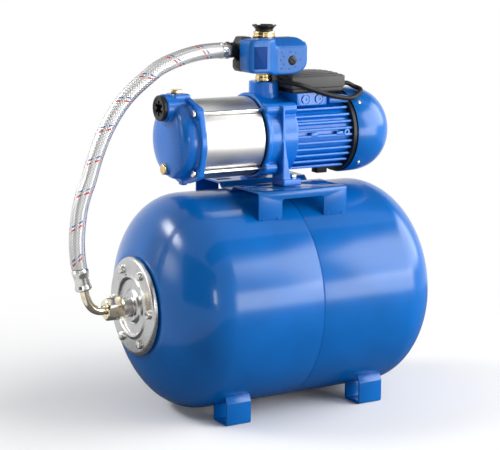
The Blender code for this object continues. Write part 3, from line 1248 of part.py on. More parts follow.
def cover_front():
    """The cover seen from the front, in (X, Z) from its foot: square left, round right end."""
    left = CONTROLLER_LEFT_X
    top = CONTROLLER_HEIGHT
    low_middle = DIAL_HEIGHT - LOBE_RADIUS
    right = CONTROLLER_RIGHT_X
    points = arc((left + 6 * MM, top - 6 * MM), 6 * MM, 180, 90, 3)
    points += arc((right - 15 * MM, top - 15 * MM), 15 * MM, 90, 20, 4)
    radius = right - DIAL_X
    end = arc((DIAL_X, DIAL_HEIGHT), radius, 15, -90, 7)
    points += [(x, z if z > DIAL_HEIGHT else DIAL_HEIGHT - (DIAL_HEIGHT - z) * LOBE_RADIUS / radius)
               for x, z in end]
    points += [(COVER_LOBE_LEFT_X, low_middle), (COVER_FACE_RIGHT_X + 6 * MM, -1 * MM)]
    points += arc((left + 9 * MM, 9 * MM), 9 * MM, 270, 180, 3)
    return points


def build_cover():
    low = DIAL_HEIGHT - LOBE_RADIUS
    at = (0, 0, CONTROLLER_Z)
    cover = prism("controller_cover", cover_plan(), low - 5 * MM, CONTROLLER_HEIGHT + 5 * MM, Z, at,
                  BLUE_PLASTIC)
    back = BODY_FRONT_Y - GAP
    front = prism("cover_front_shape", cover_front(), COVER_FACE_Y - 5 * MM, back + 5 * MM, Y, at)
    soften(front, 1.5 * MM, 1, 60)
    keep(cover, front)
    lobe_top = DIAL_HEIGHT + LOBE_RADIUS
    slope = prism("cover_slope", [
        (COVER_FACE_Y - 5 * MM, lobe_top - 4 * MM), (COVER_LOBE_Y, lobe_top),
        (back - 3 * MM, CONTROLLER_HEIGHT), (back - 3 * MM, CONTROLLER_HEIGHT + 10 * MM),
        (COVER_FACE_Y - 5 * MM, CONTROLLER_HEIGHT + 10 * MM),
    ], COVER_LOBE_LEFT_X - 8 * MM, CONTROLLER_RIGHT_X + 10 * MM, X, at)
    label = prism("cover_label_recess", rounded_rectangle(-69.5 * MM, -43.5 * MM, 6 * MM, 48 * MM, 1 * MM, 1),
                  COVER_FACE_Y - 5 * MM, COVER_FACE_Y + 0.7 * MM, Y, at)
    wall = COVER_WALL
    room_front = -COVER_LOBE_Y - wall
    room = prism("cover_room", rounded_rectangle(
        CONTROLLER_LEFT_X + wall + 3 * MM, CONTROLLER_RIGHT_X - wall - 8 * MM, 7 * MM,
        CONTROLLER_HEIGHT - wall - 10 * MM, 3 * MM, 2), -room_front, back + 5 * MM, Y, at)
    dial_hole = cylinder("dial_hole", (DIAL_X, COVER_LOBE_Y, CONTROLLER_Z + DIAL_HEIGHT), Y,
                         DIAL_RADIUS + GAP, -5 * MM, 8 * MM, MEDIUM_SEGMENTS)
    cut(cover, slope, label, room, dial_hole)

    turned("controller_dial", [
        (GAP, 3 * MM), (BODY_FRONT_Y - COVER_LOBE_Y - 6 * MM, 3 * MM),
        (BODY_FRONT_Y - COVER_LOBE_Y - 6 * MM, DIAL_RADIUS),
        (BODY_FRONT_Y - COVER_LOBE_Y + DIAL_PROUD - 0.6 * MM, DIAL_RADIUS),
        (BODY_FRONT_Y - COVER_LOBE_Y + DIAL_PROUD, DIAL_RADIUS - 0.6 * MM),
    ], (DIAL_X, BODY_FRONT_Y, CONTROLLER_Z + DIAL_HEIGHT), -Y, BLACK, MEDIUM_SEGMENTS)


def build_controller():
    at = (0, 0, CONTROLLER_Z)
    left = CONTROLLER_LEFT_X
    right = CONTROLLER_RIGHT_X - 3 * MM
    top = CONTROLLER_HEIGHT
    outline = [
        (left + 4 * MM, 1 * MM), (left, 8 * MM), (left, top - 8 * MM), (left + 6 * MM, top + 2.5 * MM),
        (left + 22 * MM, top + 2.5 * MM), (left + 26 * MM, top - 1 * MM), (right - 8 * MM, top - 1 * MM),
        (right, top - 12 * MM), (right, 4 * MM), (right - 6 * MM, 0), (left + 14 * MM, 0),
    ]
    body = prism("controller_body", outline, BODY_FRONT_Y, BODY_BACK_Y, Y, at, BLACK)
    port_at = (PIPE_X, 0, PORT_Z)
    port_left = cylinder("port_left", port_at, -X, PORT_RADIUS, 0, PIPE_X - PORT_LEFT_X)
    port_right = cylinder("port_right", port_at, X, PORT_RADIUS, 0, CONTROLLER_RIGHT_X - PIPE_X)
    barrel = cylinder("flow_barrel", (PIPE_X, 0, CONTROLLER_Z), Z, -BODY_FRONT_Y - GAP, 1 * MM, top,
                      OUTLET_SEGMENTS)
    join(body, port_left, port_right, barrel)
    passage = cylinder("passage", (PIPE_X, 0, CONTROLLER_Z), Z, DISCHARGE_BORE_RADIUS, INLET_DEPTH + 4 * MM,
                       top + 5 * MM)
    seat = cylinder("passage_seat", (PIPE_X, 0, CONTROLLER_Z), Z, CHECK_RADIUS - 2.5 * MM, -5 * MM,
                    top, SMALL_SEGMENTS)
    inlet = cylinder("passage_inlet", (PIPE_X, 0, CONTROLLER_Z), Z, INLET_RADIUS + GAP, -5 * MM,
                     INLET_DEPTH)
    bore_left = cylinder("port_bore_left", port_at, -X, PORT_BORE_RADIUS, 0, 90 * MM)
    bore_right = cylinder("port_bore_right", port_at, X, PORT_BORE_RADIUS, 0, 90 * MM)
    cut(body, passage, seat, inlet, bore_left, bore_right)

    nipple_low = DISCHARGE_TOP_Z - 11 * MM - CONTROLLER_Z
    bore = INLET_BORE_RADIUS
    screw = DISCHARGE_BORE_RADIUS - GAP
    turned("inlet_nipple", [
        (nipple_low, bore), (nipple_low, screw), (-CONTROLLER_CLEARANCE + GAP, screw),
        (-CONTROLLER_CLEARANCE + GAP, INLET_RADIUS + 1 * MM), (-GAP, INLET_RADIUS + 1 * MM),
        (-GAP, INLET_RADIUS), (INLET_DEPTH - GAP, INLET_RADIUS), (INLET_DEPTH - GAP, bore),
    ], (PIPE_X, 0, CONTROLLER_Z), Z, BRASS, MEDIUM_SEGMENTS, hollow=True)

    valve_z = CONTROLLER_Z + INLET_DEPTH + 4 * MM + GAP
    turned("check_valve", [
        (0, CHECK_RADIUS), (3 * MM, CHECK_RADIUS), (4.5 * MM, CHECK_RADIUS - 3 * MM), (4.5 * MM, 3 * MM),
        (14 * MM, 2.5 * MM),
    ], (PIPE_X, 0, valve_z), Z, RUBBER, SMALL_SEGMENTS)

    outlet_z = CONTROLLER_Z + top + GAP
    turned("outlet_ring", [
        (0, OUTLET_BORE_RADIUS), (0, OUTLET_RADIUS), (OUTLET_HEIGHT - 0.8 * MM, OUTLET_RADIUS),
        (OUTLET_HEIGHT, OUTLET_RADIUS - 0.8 * MM), (OUTLET_HEIGHT, OUTLET_BORE_RADIUS),
    ], (PIPE_X, 0, outlet_z), Z, BRASS, OUTLET_SEGMENTS, hollow=True)
    cap = turned("outlet_cap", [
        (-CAP_THREAD, OUTLET_BORE_RADIUS - GAP), (0, OUTLET_BORE_RADIUS - GAP), (0, CAP_WAIST_RADIUS),
        (CAP_HEIGHT * 0.3, CAP_WAIST_RADIUS), (CAP_HEIGHT * 0.75, CAP_BRIM_RADIUS - 1.5 * MM),
        (CAP_HEIGHT * 0.8, CAP_BRIM_RADIUS), (CAP_HEIGHT, CAP_BRIM_RADIUS),
    ], (PIPE_X, 0, outlet_z + OUTLET_HEIGHT + GAP), Z, BLACK, OUTLET_SEGMENTS)
    recess = cylinder("cap_recess", (PIPE_X, 0, outlet_z + OUTLET_HEIGHT), Z, CAP_WAIST_RADIUS - 2 * MM,
                      CAP_HEIGHT - 3 * MM, CAP_HEIGHT + 5 * MM, HIDDEN_SEGMENTS)
    cut(cap, recess)

    side_at = (CONTROLLER_RIGHT_X + GAP, 0, PORT_Z)
    turned("side_plug", [
        (-10 * MM, PORT_BORE_RADIUS - GAP), (0, PORT_BORE_RADIUS - GAP), (0, SIDE_PLUG_RADIUS),
        (SIDE_PLUG_LENGTH - 2 * MM, SIDE_PLUG_RADIUS), (SIDE_PLUG_LENGTH, SIDE_PLUG_RADIUS - 2 * MM),
    ], side_at, X, NICKEL, MEDIUM_SEGMENTS)

    board_y = BODY_FRONT_Y - GAP - BOARD_THICKNESS
    board = prism("controller_board", rounded_rectangle(
        CONTROLLER_LEFT_X + 8 * MM, DIAL_X - 8 * MM, 10 * MM, CONTROLLER_HEIGHT - 16 * MM, 1 * MM, 1),
        board_y, board_y + BOARD_THICKNESS, Y, at, GREEN)
    chip = prism("board_chip", rectangle(CONTROLLER_LEFT_X + 16 * MM, CONTROLLER_LEFT_X + 30 * MM,
                                         18 * MM, 32 * MM), board_y - 8 * MM, board_y + 1 * MM, Y, at)
    join(board, chip)


# Elbow, hose and cable

def nut_x():
    """The face of the flange's boss, from which the nipple and its nut stand out."""
    return -tank_flat_x() - FLANGE_DEPTH - FLANGE_BOSS_HEIGHT


def build_hose():
    nut_right = nut_x() - NIPPLE_LENGTH - GAP
    nut_left = nut_right - ELBOW_NUT_LENGTH
    nut_at = (nut_right, 0, TANK_Z)
    nut = turned("elbow_nut", [
        (0, ELBOW_NUT_RADIUS - 1 * MM), (1 * MM, ELBOW_NUT_RADIUS),
        (ELBOW_NUT_LENGTH - 2 * MM, ELBOW_NUT_RADIUS), (ELBOW_NUT_LENGTH, ELBOW_NUT_RADIUS - 2.5 * MM),
    ], nut_at, -X, BRASS, segments=6)
    thread = cylinder("nut_thread", nut_at, -X, NIPPLE_BORE - GAP, -ELBOW_NUT_THREAD, 5 * MM)
    mouth = cylinder("nut_mouth", nut_at, -X, ELBOW_RADIUS + GAP, -20 * MM, ELBOW_NUT_LENGTH + 5 * MM,
                     HIDDEN_SEGMENTS)
    join(nut, thread)
    cut(nut, mouth)

    bend = [(nut_left + ELBOW_INSET, 0, TANK_Z)]
    bend += [(nut_left + reach, 0, TANK_Z + rise) for reach, rise in ELBOW_PATH]
    tube("elbow", smooth_route(bend, 7 * MM), ELBOW_RADIUS, BRASS, 3)

    foot = Vector((nut_left + FERRULE_START[0], 0, TANK_Z + FERRULE_START[1]))
    up = Vector((nut_left + FERRULE_END[0], 0, TANK_Z + FERRULE_END[1])) - foot
    length = up.length
    bore = ELBOW_RADIUS + RUNNING_GAP
    turned("hose_ferrule_lower", [
        (0, bore), (0, FERRULE_FLARE - 1 * MM), (2 * MM, FERRULE_FLARE), (5 * MM, FERRULE_RADIUS),
        (length - 10 * MM, FERRULE_RADIUS), (length - 4 * MM, FERRULE_FLARE),
        (length - 1 * MM, FERRULE_FLARE), (length, FERRULE_FLARE - 1 * MM), (length, bore),
    ], foot, up, NICKEL, MEDIUM_SEGMENTS, hollow=True)

    port_face = PORT_LEFT_X - GAP
    nut_face = port_face - HOSE_NUT_LENGTH
    collar = HOSE_COLLAR_LENGTH
    ferrule_face = nut_face - GAP - collar
    turned("hose_nut_upper", [
        (0, HOSE_NUT_RADIUS - 0.8 * MM), (0.8 * MM, HOSE_NUT_RADIUS),
        (HOSE_NUT_LENGTH - 0.8 * MM, HOSE_NUT_RADIUS), (HOSE_NUT_LENGTH, HOSE_NUT_RADIUS - 0.8 * MM),
    ], (port_face, 0, PORT_Z), -X, NICKEL, 6)
    turned("hose_ferrule_upper", [
        (0, FERRULE_RADIUS), (collar - 2 * MM, FERRULE_RADIUS), (collar - 1 * MM, FERRULE_FLARE),
        (collar, FERRULE_FLARE),
    ], (nut_face - GAP, 0, PORT_Z), -X, NICKEL, MEDIUM_SEGMENTS)

    start = foot + up + up.normalized() * RUNNING_GAP
    end = Vector((ferrule_face - GAP, 0, PORT_Z))
    run = end - start
    route = [start] + [start + Vector((run.x * along, 0, run.z * rise)) for along, rise in HOSE_PATH]
    route += [end - X * HOSE_LEAD_OUT, end]
    tube("hose", smooth_route(route, 5 * HOSE_RADIUS), HOSE_RADIUS, BRAID, 3)


def build_cable():
    box_right = BOX_LEFT_X + BOX_LENGTH
    gland_at = (box_right + GAP, GLAND_Y, BOX_Z + GLAND_HEIGHT)
    gland_tip = gland_at[0] + GLAND_LENGTH
    turned("cable_gland", [
        (0, GLAND_RADIUS), (GLAND_LENGTH * 0.45, GLAND_RADIUS), (GLAND_LENGTH, CABLE_RADIUS + 1.5 * MM),
    ], gland_at, X, BLACK, SMALL_SEGMENTS)
    lobe_foot = CONTROLLER_Z + DIAL_HEIGHT - LOBE_RADIUS
    front = -PLINTH_DEPTH / 2 - CABLE_STAND_OFF
    route = [(*CABLE_START, lobe_foot - CABLE_START_DROP)]
    route += [(x, y, CONTROLLER_Z - drop) for x, y, drop in CABLE_FROM_CONTROLLER]
    route += [(BOX_LEFT_X + share * BOX_LENGTH, front, BOX_Z + rise) for share, rise in CABLE_ALONG_BOX]
    route += [(box_right + past, y, BOX_Z + rise) for past, y, rise in CABLE_ROUND_END]
    route += [(gland_tip + GAP, GLAND_Y, gland_at[2])]
    tube("motor_cable", smooth_route(route, 4 * CABLE_RADIUS), CABLE_RADIUS, BLACK, 2)


def build():
    clear_scene()
    frame_empty()
    build_tank()
    build_bladder()
    build_flange()
    build_air_valve()
    build_feet()
    build_saddle()
    build_suction_casing()
    build_casing_plugs()
    build_sleeve()
    build_tie_rods()
    build_adapter()
    build_foot_bolts()
    build_stages()
    build_shaft()
    build_motor_inside()
    build_motor_housing()
    build_end_shield()
    build_fan()
    build_fan_cover()
    build_motor_rest()
    build_terminal_box()
    build_controller()
    build_cover()
    build_hose()
    build_cable()


build()
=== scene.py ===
"""Booster pump set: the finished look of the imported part, laid out as an add-on.

+X runs from the suction end to the fan, -Y is the front and +Z is up. Shapes are drawn in
millimetres about the tank's middle, and piece() brings them into the part's frame, in metres.
"""

import json
import math

import bmesh
import bpy
from mathutils import Matrix, Vector

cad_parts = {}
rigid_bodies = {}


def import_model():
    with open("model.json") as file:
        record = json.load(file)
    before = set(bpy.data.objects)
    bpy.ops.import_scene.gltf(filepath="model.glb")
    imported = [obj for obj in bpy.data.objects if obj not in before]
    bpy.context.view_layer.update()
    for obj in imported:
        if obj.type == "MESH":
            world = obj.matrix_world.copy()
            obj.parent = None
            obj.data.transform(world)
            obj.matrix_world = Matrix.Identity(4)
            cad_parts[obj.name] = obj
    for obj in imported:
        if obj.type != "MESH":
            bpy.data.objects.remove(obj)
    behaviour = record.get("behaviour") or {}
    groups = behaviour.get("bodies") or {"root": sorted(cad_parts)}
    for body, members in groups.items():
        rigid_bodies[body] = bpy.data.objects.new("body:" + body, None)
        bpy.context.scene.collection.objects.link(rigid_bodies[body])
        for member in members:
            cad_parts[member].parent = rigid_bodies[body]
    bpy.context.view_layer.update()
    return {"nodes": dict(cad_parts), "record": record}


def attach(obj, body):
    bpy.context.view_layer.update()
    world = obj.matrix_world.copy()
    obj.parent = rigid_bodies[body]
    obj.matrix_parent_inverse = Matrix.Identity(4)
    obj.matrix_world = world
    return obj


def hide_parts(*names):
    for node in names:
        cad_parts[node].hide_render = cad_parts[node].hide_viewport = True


bl_info = {
    "name": "Booster pump set",
    "version": (1, 0, 0),
    "blender": (4, 5, 0),
    "location": "3D View > Sidebar > Pump set",
    "description": "Builds a horizontal pump on a membrane tank over its packed solids",
    "category": "Add Mesh",
}

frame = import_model()

MM = 0.001
GAP = 0.3
SET_SHIFT = Vector((38.0, 0, 0))
ORIGIN = (0, 0, 0)
X = Vector((1, 0, 0))
Y = Vector((0, 1, 0))
Z = Vector((0, 0, 1))

# Tank
TANK_Z = 195.5
TANK_RADIUS = 185.0
TANK_HALF = 274.8
TANK_DOME_DEPTH = 109.0
TANK_DOME_POWER = 2.1
TANK_FLAT_RADIUS = 92.0
TANK_SEAM_X = -6.0
TANK_SEAM_STEP = 0.8
FLANGE_X = -262.0
FOOT_MIDDLE_X = 133.3
FOOT_WIDTH = 46.5

# Saddle and pump
SADDLE_TOP_Z = 390.7
SADDLE_LEFT_X = -90.7
SADDLE_RIGHT_X = 83.0
SADDLE_HALF_DEPTH = 110.8
PUMP_Z = 472.0
CASING_BACK_X = -168.0
ROD_PLACES = [(-53.0, 49.5), (-53.0, -49.5), (53.0, 49.5), (53.0, -49.5)]
SUCTION_Z = PUMP_Z + 55.5
DRAIN_Z = PUMP_Z - 47
PRIMING_X = -186.6
ADAPTER_X = -50.0
PIPE_X = -17.5
MOTOR_X = 12.8
MOTOR_LENGTH = 109.5
SHIELD_X = 122.6
FAN_COVER_X = 130.9

# Box and controller
BOX_X = 6.4
BOX_LENGTH = 106.6
BOX_HALF_DEPTH = 55.0
BOX_Z = 546.8
LEAD_HOLE_X = 45.65
CONTROLLER_Z = 583.0
CONTROLLER_HEIGHT = 57.0
CONTROLLER_LEFT_X = -77.5
CONTROLLER_RIGHT_X = 45.5
BODY_FRONT_Y = -20.0
COVER_FACE_Y = -55.0
COVER_LOBE_Y = -44.0
PORT_Z = 619.5
DIAL_X = 13.0
DIAL_Z = 602.0

# Marks round the dial, from its middle
SCALE_MARKS = [(-22, 14), (-4.2, 14.5), (6.5, 12.5), (-17, 7.5), (-23.5, 1), (-18, -6),
               (5.5, -11.5), (-22.5, -13), (-6.5, -14.5), (15.6, 0)]

# Hose, as shares of its run from end to end, elbow and cable
HOSE_RADIUS = 13.2
FERRULE_FOOT = Vector((-360.5, 0, 234.0))
FERRULE_TOP = Vector((-368.0, 0, 271.0))
HOSE_PATH = [
    (-0.0092, 0.0471), (-0.0136, 0.1133), (-0.0092, 0.1765), (0.0062, 0.2656), (0.0335, 0.3432),
    (0.0721, 0.4179), (0.1287, 0.5444), (0.2154, 0.6795), (0.3383, 0.8002), (0.5095, 0.9037),
    (0.5962, 0.9411), (0.7301, 0.9756), (0.8488, 0.9943),
]
ELBOW_PATH = [
    (-314.8, 0, 195.5), (-322.8, 0, 195.5), (-334, 0, 195.5), (-346, 0, 202), (-355, 0, 216),
    (-361, 0, 236), (-363, 0, 244),
]
CABLE_RADIUS = 4.0
CABLE_PATH = [
    (-6.0, -33.0, 575.9), (-6.0, -34.5, 569.0), (-3.0, -52.0, 566.0), (14.0, -66.0, 562.0),
    (42.0, -66.0, 552.5), (76.0, -66.0, 541.5), (108.0, -64.0, 535.0), (127.0, -60.0, 534.5),
    (148.0, -47.0, 539.0), (160.0, -34.0, 545.0), (153.0, -24.0, 549.5), (140.0, -22.0, 555.8),
    (127.6, -22.0, 555.8),
]


# Node trees

class Value:
    """A number or colour on its way between nodes, so that sums on it read as sums."""

    def __init__(self, tree, socket):
        self.tree = tree
        self.socket = socket

    def sum(self, operation, *others):
        return self.tree.node("ShaderNodeMath", {"operation": operation}, [self, *others])

    def __add__(self, other):
        return self.sum("ADD", other)

    def __sub__(self, other):
        return self.sum("SUBTRACT", other)

    def __rsub__(self, other):
        return self.tree.node("ShaderNodeMath", {"operation": "SUBTRACT"}, [other, self])

    def __mul__(self, other):
        return self.sum("MULTIPLY", other)

    def __truediv__(self, other):
        return self.sum("DIVIDE", other)

    def __rtruediv__(self, other):
        return self.tree.node("ShaderNodeMath", {"operation": "DIVIDE"}, [other, self])

    def __pow__(self, other):
        return self.sum("POWER", other)

    def __mod__(self, other):
        return self.sum("FLOORED_MODULO", other)


class NodeTree:
    """Adds nodes to a tree, one call for each."""

    def __init__(self, tree):
        self.tree = tree

    def feed(self, socket, value):
        if isinstance(value, Value):
            self.tree.links.new(value.socket, socket)
        elif isinstance(value, tuple) and len(value) == 3 and len(socket.default_value) == 4:
            socket.default_value = (*value, 1.0)
        else:
            socket.default_value = value

    def node(self, kind, settings=None, inputs=(), output=0):
        """A node with its settings made first. The output is a Value, or all of them for None."""
        made = self.tree.nodes.new(kind)
        for key, value in (settings or {}).items():
            setattr(made, key, value)
        pairs = inputs.items() if isinstance(inputs, dict) else enumerate(inputs)
        for key, value in pairs:
            self.feed(made.inputs[key], value)
        if output is None:
            return [Value(self, socket) for socket in made.outputs]
        return Value(self, made.outputs[output])

    def vector(self, x, y, z):
        return self.node("ShaderNodeCombineXYZ", {}, [x, y, z])

    def parts(self, vector):
        return self.node("ShaderNodeSeparateXYZ", {}, [vector], None)


class Look(NodeTree):
    """A material for one finish of the set. Its own sizes are in millimetres."""

    def __init__(self, name, roughness=0.4, metallic=0.0, coat=0.0, coat_roughness=0.05,
                 specular=0.5):
        self.material = bpy.data.materials.new(name)
        self.material.use_nodes = True
        super().__init__(self.material.node_tree)
        self.surface = self.tree.nodes["Principled BSDF"]
        self.set("Roughness", roughness)
        self.set("Metallic", metallic)
        self.set("Coat Weight", coat)
        self.set("Coat Roughness", coat_roughness)
        self.set("Specular IOR Level", specular)
        self.place = self.node("ShaderNodeTexCoord", output="Object")

    def set(self, name, value):
        self.feed(self.surface.inputs[name], value)

    def noise(self, size, detail=2.0, at=None, unit=MM):
        """Soft blotches about that long, from 0 to 1."""
        return self.node("ShaderNodeTexNoise", {}, {
            "Vector": at or self.place, "Scale": 1.0 / (size * unit), "Detail": detail})

    def lines(self, size, round_size, detail, height):
        """Fine lines round a piece that was turned about X at that height."""
        return self.noise(1.0, detail, self.round_an_axis(size, round_size, height), unit=1.0)

    def round_an_axis(self, size, round_size, height):
        """Places along, round and out from an axis along X at that height."""
        centred = self.node("ShaderNodeMapping", {}, {
            "Vector": self.place, "Location": (0.0, 0.0, -height * MM)})
        x, y, z = self.parts(centred)
        turn = y.sum("ARCTAN2", z)
        reach = (y * y + z * z) ** 0.5
        return self.vector(x / (size * MM), turn / round_size, reach / (size * MM))

    def mix(self, share, first, second):
        return self.node("ShaderNodeMix", {"data_type": "RGBA"}, {0: share, 6: first, 7: second}, 2)

    def between(self, value, low, high, start=0.0, end=1.0):
        """The value carried from low..high to start..end and held there."""
        return self.node("ShaderNodeMapRange", {}, [value, low, high, start, end])

    def finished(self, colour, roughness, height, depth):
        """The material, with the three things that vary over it: colour, gloss and relief."""
        self.set("Base Color", colour)
        self.set("Roughness", roughness)
        self.set("Normal", self.node("ShaderNodeBump", {}, {
            "Height": height, "Distance": depth * MM, "Strength": 1.0}))
        return self.material


def toned(colour, factor, more=0.0):
    return tuple(min(1.0, c * factor + more) for c in colour)


def enamel_look(colour):
    """Stove enamel on pressed steel: a little orange peel under a clear gloss."""
    look = Look("blue_enamel_gloss", coat=0.30, coat_roughness=0.08, specular=0.20)
    broad, peel, dust = look.noise(90), look.noise(3.2, 1.0), look.noise(0.9)
    return look.finished(
        look.mix(look.between(broad, 0.3, 0.7), colour, toned(colour, 0.82)),
        look.between(dust, 0.3, 0.8, 0.20, 0.30), peel + dust * 0.12, 0.010)


def casting_look(colour):
    """Paint sprayed over sand-cast iron: grain and soft waves under a thin gloss, with pale flecks
    painted in as glints.
    """
    look = Look("azure_cast_paint", coat=0.45, coat_roughness=0.11, specular=0.22)
    waves, grain = look.noise(5.0), look.noise(0.7, 3.0)
    # Painted glints: small flecks of paler colour stand in for light catching the grain.
    painted_glints = look.between(look.noise(0.8, 0.0), 0.62, 0.74)
    base = look.mix(look.between(waves, 0.3, 0.7), toned(colour, 0.86), colour)
    return look.finished(
        look.mix(painted_glints * 0.5, base, toned(colour, 1.35, 0.015)),
        look.between(grain, 0.3, 0.7, 0.26, 0.40), waves * 0.5 + grain * 0.4, 0.05)


def moulded_blue_look(colour):
    """Satin blue moulding with a fine spark-eroded grain."""
    look = Look("satin_blue_moulding", coat=0.12, coat_roughness=0.16, specular=0.20)
    grain, flow = look.noise(0.45), look.noise(40, 1.0)
    return look.finished(
        look.mix(look.between(flow, 0.35, 0.65), colour, toned(colour, 0.88)),
        look.between(grain, 0.3, 0.7, 0.30, 0.40), grain, 0.012)


def moulded_field_look():
    """The smooth bare field for a label, a shade darker than the moulding round it."""
    look = Look("smooth_blue_field", specular=0.06)
    flow = look.noise(11)
    return look.finished(
        look.mix(flow, (0.002, 0.038, 0.190), (0.003, 0.046, 0.225)),
        look.between(flow, 0.3, 0.7, 0.36, 0.48), look.noise(0.6), 0.004)


def polished_sleeve_look():
    """Stainless tube polished on a wheel, with fine lines running round it."""
    look = Look("polished_stainless", metallic=1.0)
    lines, broad = look.lines(0.22, 0.35, 3.0, PUMP_Z), look.noise(30, 1.0)
    return look.finished(
        look.mix(lines, (0.66, 0.65, 0.64), (0.76, 0.76, 0.75)),
        look.between(lines * 0.7 + broad * 0.3, 0.3, 0.7, 0.36, 0.44), lines, 0.0008)


def zinc_look():
    """Bright zinc plate with its faint cloudy bloom, pink in places."""
    look = Look("bright_zinc", metallic=1.0)
    cloud, scratch = look.noise(24, 3.0), look.lines(0.5, 0.05, 2.0, TANK_Z)
    spangle = look.node("ShaderNodeTexVoronoi", {}, {
        "Vector": look.place, "Scale": 1.0 / (2.2 * MM)})
    tint = look.mix(look.between(cloud, 0.46, 0.72), (0.51, 0.52, 0.52), (0.50, 0.44, 0.43))
    return look.finished(
        look.mix(spangle * 0.25, tint, (0.60, 0.61, 0.61)),
        look.between(scratch * 0.6 + cloud * 0.4, 0.3, 0.7, 0.20, 0.34),
        scratch + spangle * 0.2, 0.004)


def bright_metal_look(name, colour, tarnish, low, high):
    """Turned and plated metal with a little tarnish and tool marks."""
    look = Look(name, metallic=1.0)
    cloud, marks = look.noise(9, 3.0), look.noise(0.35)
    return look.finished(
        look.mix(look.between(cloud, 0.45, 0.75), colour, tarnish),
        look.between(marks * 0.5 + cloud * 0.5, 0.3, 0.7, low, high), marks, 0.003)


def dull_look(name, colour, pale, size, low, high, depth, specular=0.4):
    """Moulded plastic or rubber: one grain with paler crests."""
    look = Look(name, specular=specular)
    grain, wear = look.noise(size, 3.0), look.noise(14, 3.0)
    return look.finished(
        look.mix(look.between(wear * 0.5 + grain * 0.5, 0.4, 0.8), colour, pale),
        look.between(grain, 0.3, 0.7, low, high), grain, depth)


def braid_look():
    """Steel wire braid laid crosswise, with a red and a blue tracer strand winding round it, and
    shade painted along the strands' edges and across each wire.
    """
    look = Look("wire_braid", metallic=0.85)
    route = look.node("ShaderNodeUVMap", {"uv_map": "hose"})
    turn, along, _ = look.parts(route)

    def crossing(count, pitch=83.0 * MM):
        return turn * count + along * (count / pitch), turn * count - along * (count / pitch)

    def crest(way):
        return ((way % 1.0) - 0.5).sum("ABSOLUTE") * -2.0 + 1.0

    def strand(middle, half):
        lead = (turn - along * (1 / (55.0 * MM))) % 1.0
        dash = ((turn * 7.0) % 1.0).sum("LESS_THAN", 0.58)
        return (lead - middle).sum("ABSOLUTE").sum("LESS_THAN", half) * dash

    right, left = crossing(16)
    over = ((right.sum("FLOOR") + left.sum("FLOOR")) % 2.0).sum("GREATER_THAN", 0.5)
    under = 1.0 - over
    hump = over * crest(right) + under * crest(left)
    right, left = crossing(96.0)
    wire = over * (right % 1.0) + under * (left % 1.0)
    red, blue = strand(0.30, 0.030), strand(0.173, 0.024)
    # Painted shade: each strand darkens towards its edges, where it dips under the crossing
    # strands.
    steel = look.mix(look.between(hump, 0.05, 0.55), (0.26, 0.26, 0.27), (0.70, 0.70, 0.69))
    # Painted shade across each wire: every wire darkens towards one side.
    painted_wire_shade = look.between(wire, 0.0, 0.5) * 0.5 + 0.5
    steel = look.mix(painted_wire_shade, (0.32, 0.32, 0.33), steel)
    look.set("Metallic", 0.85 - (red + blue).sum("MINIMUM", 1.0) * 0.85)
    return look.finished(
        look.mix(blue, look.mix(red, steel, (0.62, 0.045, 0.010)), (0.020, 0.105, 0.42)),
        look.between(hump, 0.0, 1.0, 0.5, 0.30), hump * 0.8 + wire * 0.15, 0.45)


def winding_look():
    """Enamelled copper wire, wound round the motor's axis."""
    look = Look("enamelled_copper", metallic=0.8, coat=0.4)
    x, _, reach = look.parts(look.round_an_axis(1.1, 0.6, PUMP_Z))
    wire = ((x + reach) % 1.0 - 0.5).sum("ABSOLUTE") * 2.0
    return look.finished(
        look.mix(look.noise(6), (0.45, 0.13, 0.05), (0.66, 0.27, 0.12)),
        look.between(wire, 0.0, 1.0, 0.25, 0.45), wire, 0.3)


def lamination_look():
    """Stacked steel sheets, edge on, with a film of rust-coloured varnish."""
    look = Look("stacked_steel", metallic=0.9)
    x, _, _ = look.parts(look.place)
    sheets = ((x / (0.5 * MM)) % 1.0).sum("GREATER_THAN", 0.12)
    stain = look.noise(12, 3.0)
    base = look.mix(look.between(stain, 0.45, 0.7), (0.42, 0.42, 0.43), (0.30, 0.24, 0.20))
    return look.finished(
        look.mix(sheets, (0.10, 0.10, 0.10), base),
        look.between(stain, 0.3, 0.7, 0.30, 0.50), sheets, 0.05)


def board_look():
    """Green board with copper tracks under its solder mask."""
    look = Look("green_board", coat=0.3)
    upright = look.node("ShaderNodeMapping", {}, {
        "Vector": look.place, "Rotation": (math.pi / 2, 0.0, 0.0)})
    tracks = look.node("ShaderNodeTexBrick", {"offset": 0.37}, {
        "Vector": upright, "Scale": 1.0 / (9 * MM), "Mortar Size": 0.05,
        "Color1": (0.008, 0.110, 0.040), "Color2": (0.012, 0.150, 0.055),
        "Mortar": (0.05, 0.26, 0.10),
    })
    return look.finished(
        tracks, look.between(look.noise(1.2), 0.3, 0.7, 0.3, 0.5), look.noise(2), 0.02)


# By slot: name, colour, tarnish, least and most roughness
METALS = {
    "brass": ("turned_brass", (0.70, 0.53, 0.27), (0.50, 0.35, 0.16), 0.15, 0.28),
    "warm_nickel": ("plated_brass", (0.80, 0.73, 0.58), (0.58, 0.46, 0.28), 0.08, 0.18),
    "nickel_plate": ("bright_nickel", (0.66, 0.65, 0.62), (0.50, 0.49, 0.46), 0.12, 0.24),
    "smoked_nickel": ("smoked_nickel", (0.22, 0.22, 0.23), (0.15, 0.15, 0.15), 0.20, 0.34),
}

